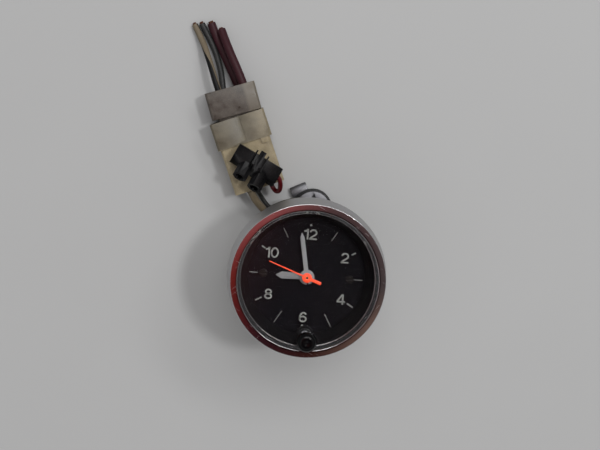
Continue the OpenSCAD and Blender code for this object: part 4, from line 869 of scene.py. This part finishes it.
# %% The pen
PEN, WIDEN, GAP = 0.155, 1.16, 0.03
pen_tree, p_in, p_out = geometry_group("pen", [
    ("Wide", "NodeSocketFloat"), ("Material", "NodeSocketMaterial")])
strokes = add(pen_tree, "GeometryNodeMeshToCurve", {0: p_in.outputs["Geometry"]})
upright = add(pen_tree, "GeometryNodeSetCurveNormal", {0: strokes.outputs[0]}, mode="Z_UP")
nib = add(pen_tree, "GeometryNodeCurvePrimitiveQuadrilateral",
          {"Width": p_in.outputs["Wide"], "Height": INK * MM})
drawn = add(pen_tree, "GeometryNodeCurveToMesh",
            {0: upright.outputs[0], "Profile Curve": nib.outputs[0], "Fill Caps": True})
real = add(pen_tree, "GeometryNodeRealizeInstances", {0: drawn.outputs[0]})
inked = add(pen_tree, "GeometryNodeSetMaterial", {0: real.outputs[0], "Material": p_in.outputs["Material"]})
pen_tree.links.new(inked.outputs[0], p_out.inputs["Geometry"])
print("group", pen_tree.name)

# %% Digits: each one's width and its strokes
DIGITS = {
    "0": (0.68, [arc(0.34, 0.5, 0.2575, 0.4225, 0, 360, 40)]),
    "1": (0.44, [[(0.36, 0), (0.36, 1)], [(0.34, 0.97), (0.3, 0.87), (0.22, 0.8), (0.07, 0.77)]]),
    "2": (0.66, [arc(0.33, 0.67, 0.25, 0.2525, 172, -28, 18)
                 + [(0.44, 0.43), (0.23, 0.27), (0.12, 0.16), (0.1, 0.06)],
                 [(0.02, 0.0775), (0.64, 0.0775)]]),
    "4": (0.68, [[(0.42, 0.97), (0.06, 0.32)], [(0, 0.28), (0.68, 0.28)], [(0.48, 0), (0.48, 1)]]),
    "6": (0.68, [arc(0.34, 0.3225, 0.2575, 0.245, 0, 360, 36),
                 arc(0.37, 0.45, 0.2875, 0.4725, 195, 90, 16) + arc(0.37, 0.7225, 0.2, 0.2, 80, 12, 8)]),
    "8": (0.68, [arc(0.34, 0.7275, 0.22, 0.195, 0, 360, 32), arc(0.34, 0.29, 0.2575, 0.2125, 0, 360, 36)]),
}
print("digits", list(DIGITS))

# %% Numbers
CLOSED_WITHIN = 1e-6


def printed(name, text, x, y, tall):
    widths = [DIGITS[digit][0] for digit in text]
    start = -(sum(widths) + GAP * (len(text) - 1)) / 2
    points, edges = [], []
    for digit, wide in zip(text, widths):
        for stroke in DIGITS[digit][1]:
            closed = math.dist(stroke[0], stroke[-1]) < CLOSED_WITHIN
            line = stroke[:-1] if closed else stroke
            first = len(points)
            points += [(start + u, v - 0.5) for u, v in line]
            edges += [(first + k, first + k + 1) for k in range(len(line) - 1)]
            if closed:
                edges.append((first + len(line) - 1, first))
        start += wide + GAP
    base = bpy.data.meshes.new(name + "_strokes")
    corners = [((x + u * tall * WIDEN) * MM, (y + v * tall) * MM, INK_Z) for u, v in points]
    base.from_pydata(corners, edges, [])
    made = grown(name, base, pen_tree, {"Wide": PEN * tall * MM, "Material": ink})
    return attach(made, "case")


NUMBER_R, NUMBER_TALL = 15.85, 4.0
for hour in (12, 2, 4, 6, 8, 10):
    a = math.radians(30 * hour)
    x, y = NUMBER_R * math.sin(a), NUMBER_R * math.cos(a)
    number = printed(f"number_{hour}", str(hour), x, y, NUMBER_TALL)
    print(number.name, [round(side / MM, 2) for side in number.dimensions])

# %% [markdown]
# Two dots finish the print, above the 12 and below the 6. The seconds hand is pressed on its arbor, whose
# end shows as a dark dot in the hand's middle. All three are thin discs, so one helper makes them.

# %% Dots and the end of the seconds arbor
def disc(name, at, radius, thick, coat, body):
    mesh = bpy.data.meshes.new(name)
    work = bmesh.new()
    bmesh.ops.create_cone(work, cap_ends=True, segments=24, radius1=radius * MM, radius2=radius * MM,
                          depth=thick * MM, matrix=Matrix.Translation(at))
    work.to_mesh(mesh)
    work.free()
    mesh.materials.append(coat)
    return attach(placed(name, mesh), body)


DOT_R, TIP_R, TIP_THICK = 0.4, 0.38, 0.06
DOTS = {12: 19.3, 6: 19.05}
for hour, reach in DOTS.items():
    a = math.radians(30 * hour)
    at = (reach * MM * math.sin(a), reach * MM * math.cos(a), INK_Z)
    disc(f"dot_{hour}", at, DOT_R, INK, ink, "case")
low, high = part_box("seconds_hand")
disc("seconds_tip", (0, 0, high[2]), TIP_R, TIP_THICK, FINISH["browned_steel"], "seconds")
print("dots", len(DOTS), "seconds arbor at", round(high[2] / MM, 2))

# %% [markdown]
# ## Pieces left as imported
# Inside the case nothing shows in the photo, so those pieces keep their imported shape and only take
# their finish, in case the clock is opened up or seen through its lens.

# %% Finishes for the rest
INSIDE = {
    "back_plate": "brass", "front_plate": "brass", "plate_pillars": "brass", "front_posts": "brass",
    "rear_posts": "brass", "stator": "iron", "coil_core": "iron", "coil_bobbin": "white_plastic",
    "coil_winding": "copper_wire", "circuit_board": "board", "timing_crystal": "steel",
    "rotor_magnet": "iron", "rotor_pinion": "white_plastic", "step_wheel": "brass", "seconds_wheel": "brass",
    "third_wheel": "brass", "centre_wheel": "brass", "cannon_pinion": "steel", "minute_wheel": "brass",
    "hour_wheel": "brass", "set_idler": "brass", "set_pinion": "brass", "clutch_disc": "steel",
    "bulb_cap": "brass", "lamp_bulb": "bulb_glass",
}
for node, coat in INSIDE.items():
    NODES[node].data.materials.clear()
    NODES[node].data.materials.append(FINISH[coat])
left = sorted(set(NODES) - set(INSIDE) - set(PIECES) - set(WIRES))
print("inside", len(INSIDE), "not dressed", left)

# %% [markdown]
# ## Floor and light
# The photo was taken on a pale table in a plain room. A small lamp at the right throws the firm shadow to
# the left, a wide one towards 12 o'clock the soft shadow below, and a long window between them draws the
# bright lines on the bezel's lip. The room itself is light overhead and dark towards its walls.
#
# Chrome shows what is round it. In the photo that is warm cloth, red at the left, wine below, pale brown and
# grey at the right and rose above, so a card in a few such tones hangs over the dial, seen by reflections
# only. Its middle, which the lens mirrors, is dark, so the dial stays clear.

# %% Floor
FLOOR_HALF = 1.5


def sheet(name, x0, x1, y0, y1, z, coat):
    mesh = bpy.data.meshes.new(name)
    mesh.from_pydata([(x0, y0, z), (x1, y0, z), (x1, y1, z), (x0, y1, z)], [], [(0, 1, 2, 3)])
    mesh.materials.append(coat)
    made = placed(name, mesh)
    made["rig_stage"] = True
    return made


floor_coat = finish("floor_coat", srgb(0.68, 0.68, 0.68), 0.6, cloud=60.0, amount=0.02, dusty=0.0, bump=0.0)
floor = sheet("floor", -FLOOR_HALF, FLOOR_HALF, -FLOOR_HALF, FLOOR_HALF, 0.0, floor_coat)
print("floor", [round(side, 1) for side in floor.dimensions])

# %% Tones of the card, by the bearing from the spot that the lens's middle mirrors
CARD_HIGH, MIRRORED_X, MIRRORED_Y = 0.44, 30.1 * MM, -78.7 * MM
CARD_TONES = (
    (0.0, (0.48, 0.15, 0.13)), (0.15, (0.21, 0.09, 0.12)), (0.27, (0.24, 0.12, 0.1)),
    (0.41, (0.48, 0.38, 0.34)), (0.5, (0.32, 0.28, 0.28)), (0.71, (0.36, 0.27, 0.27)),
    (0.85, (0.64, 0.33, 0.33)),
)
card_coat = bpy.data.materials.new("card_coat")
card_coat.use_nodes = True
tree = card_coat.node_tree
tree.nodes.remove(tree.nodes["Principled BSDF"])
spot = add(tree, "ShaderNodeSeparateXYZ", {0: add(tree, "ShaderNodeTexCoord").outputs["Object"]})
east = maths(tree, "SUBTRACT", spot.outputs["X"], MIRRORED_X)
north = maths(tree, "SUBTRACT", spot.outputs["Y"], MIRRORED_Y)
bearing = add(tree, "ShaderNodeMath", {0: maths(tree, "ARCTAN2", north, east), 1: 0.5 / math.pi, 2: 0.5},
              operation="MULTIPLY_ADD")
tint = add(tree, "ShaderNodeValToRGB", {0: bearing.outputs[0]})
ramp = tint.color_ramp
for place, tone in CARD_TONES:
    stop = ramp.elements[0] if place == 0.0 else ramp.elements.new(place)
    stop.color = srgb(*tone)
ramp.elements[-1].color = srgb(*CARD_TONES[0][1])
print("card tones", len(ramp.elements))

# %% Dark middle of the card
CARD_X, CARD_Y = (-0.2, 0.3), (-0.3, 0.12)
away = add(tree, "ShaderNodeCombineXYZ", {0: east, 1: north})
far = add(tree, "ShaderNodeVectorMath", {0: away.outputs[0]}, operation="LENGTH").outputs["Value"]
inner = add(tree, "ShaderNodeMapRange", {"Value": east, "From Min": -52 * MM, "From Max": -20 * MM,
                                         "To Min": 0.35, "To Max": 0.06})
shade = add(tree, "ShaderNodeMapRange", {"Value": far, "From Min": 52.5 * MM, "From Max": 54.5 * MM,
                                         "To Min": inner.outputs[0]})
glow = add(tree, "ShaderNodeEmission", {"Color": tint.outputs[0], "Strength": shade.outputs[0]})
tree.links.new(glow.outputs[0], tree.nodes["Material Output"].inputs["Surface"])
card = sheet("card", *CARD_X, *CARD_Y, CARD_HIGH, card_coat)
card.visible_camera = False
card.visible_diffuse = False
card.visible_shadow = False
print("card at", CARD_HIGH, "m")

# %% Room
world = bpy.data.worlds.new("room")
SCENE.world = world
world.use_nodes = True
room = world.node_tree
overhead = add(room, "ShaderNodeSeparateXYZ", {0: add(room, "ShaderNodeTexCoord").outputs["Generated"]})
level = add(room, "ShaderNodeMapRange", {"Value": overhead.outputs["Z"], "From Min": 0.42, "From Max": 0.8,
                                         "To Min": 0.15, "To Max": 0.64})
room.nodes["Background"].inputs["Color"].default_value = (1, 1, 1, 1)
room.links.new(level.outputs[0], room.nodes["Background"].inputs["Strength"])
print("world", world.name)

# %% Lamps: place, width, height and power
LAMPS = (
    ("lamp", (1.12, 0.74, 3.2), 0.32, 0.32, 30.5),
    ("ceiling", (-0.2, 1.6, 2.9), 1.4, 1.4, 24.0),
    ("window", (1.47, 2.1, 3.06), 1.8, 0.58, 23.0),
)
AIM_AT = Vector((0, 0, 0.03))
for name, place, wide, tall, power in LAMPS:
    light = bpy.data.lights.new(name, "AREA")
    light.shape = "RECTANGLE"
    light.size = wide
    light.size_y = tall
    light.energy = power
    stand = placed(name, light)
    stand.location = place
    aim = AIM_AT - stand.location
    stand.rotation_euler = aim.to_track_quat("-Z", "Y").to_euler()
SCENE.view_settings.view_transform = "Standard"
print("lamps", len(LAMPS))

# %% Sizes and finish
size = {"cad": [list(corner) for corner in cad_box], "visual": [list(corner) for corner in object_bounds()]}
print(size)
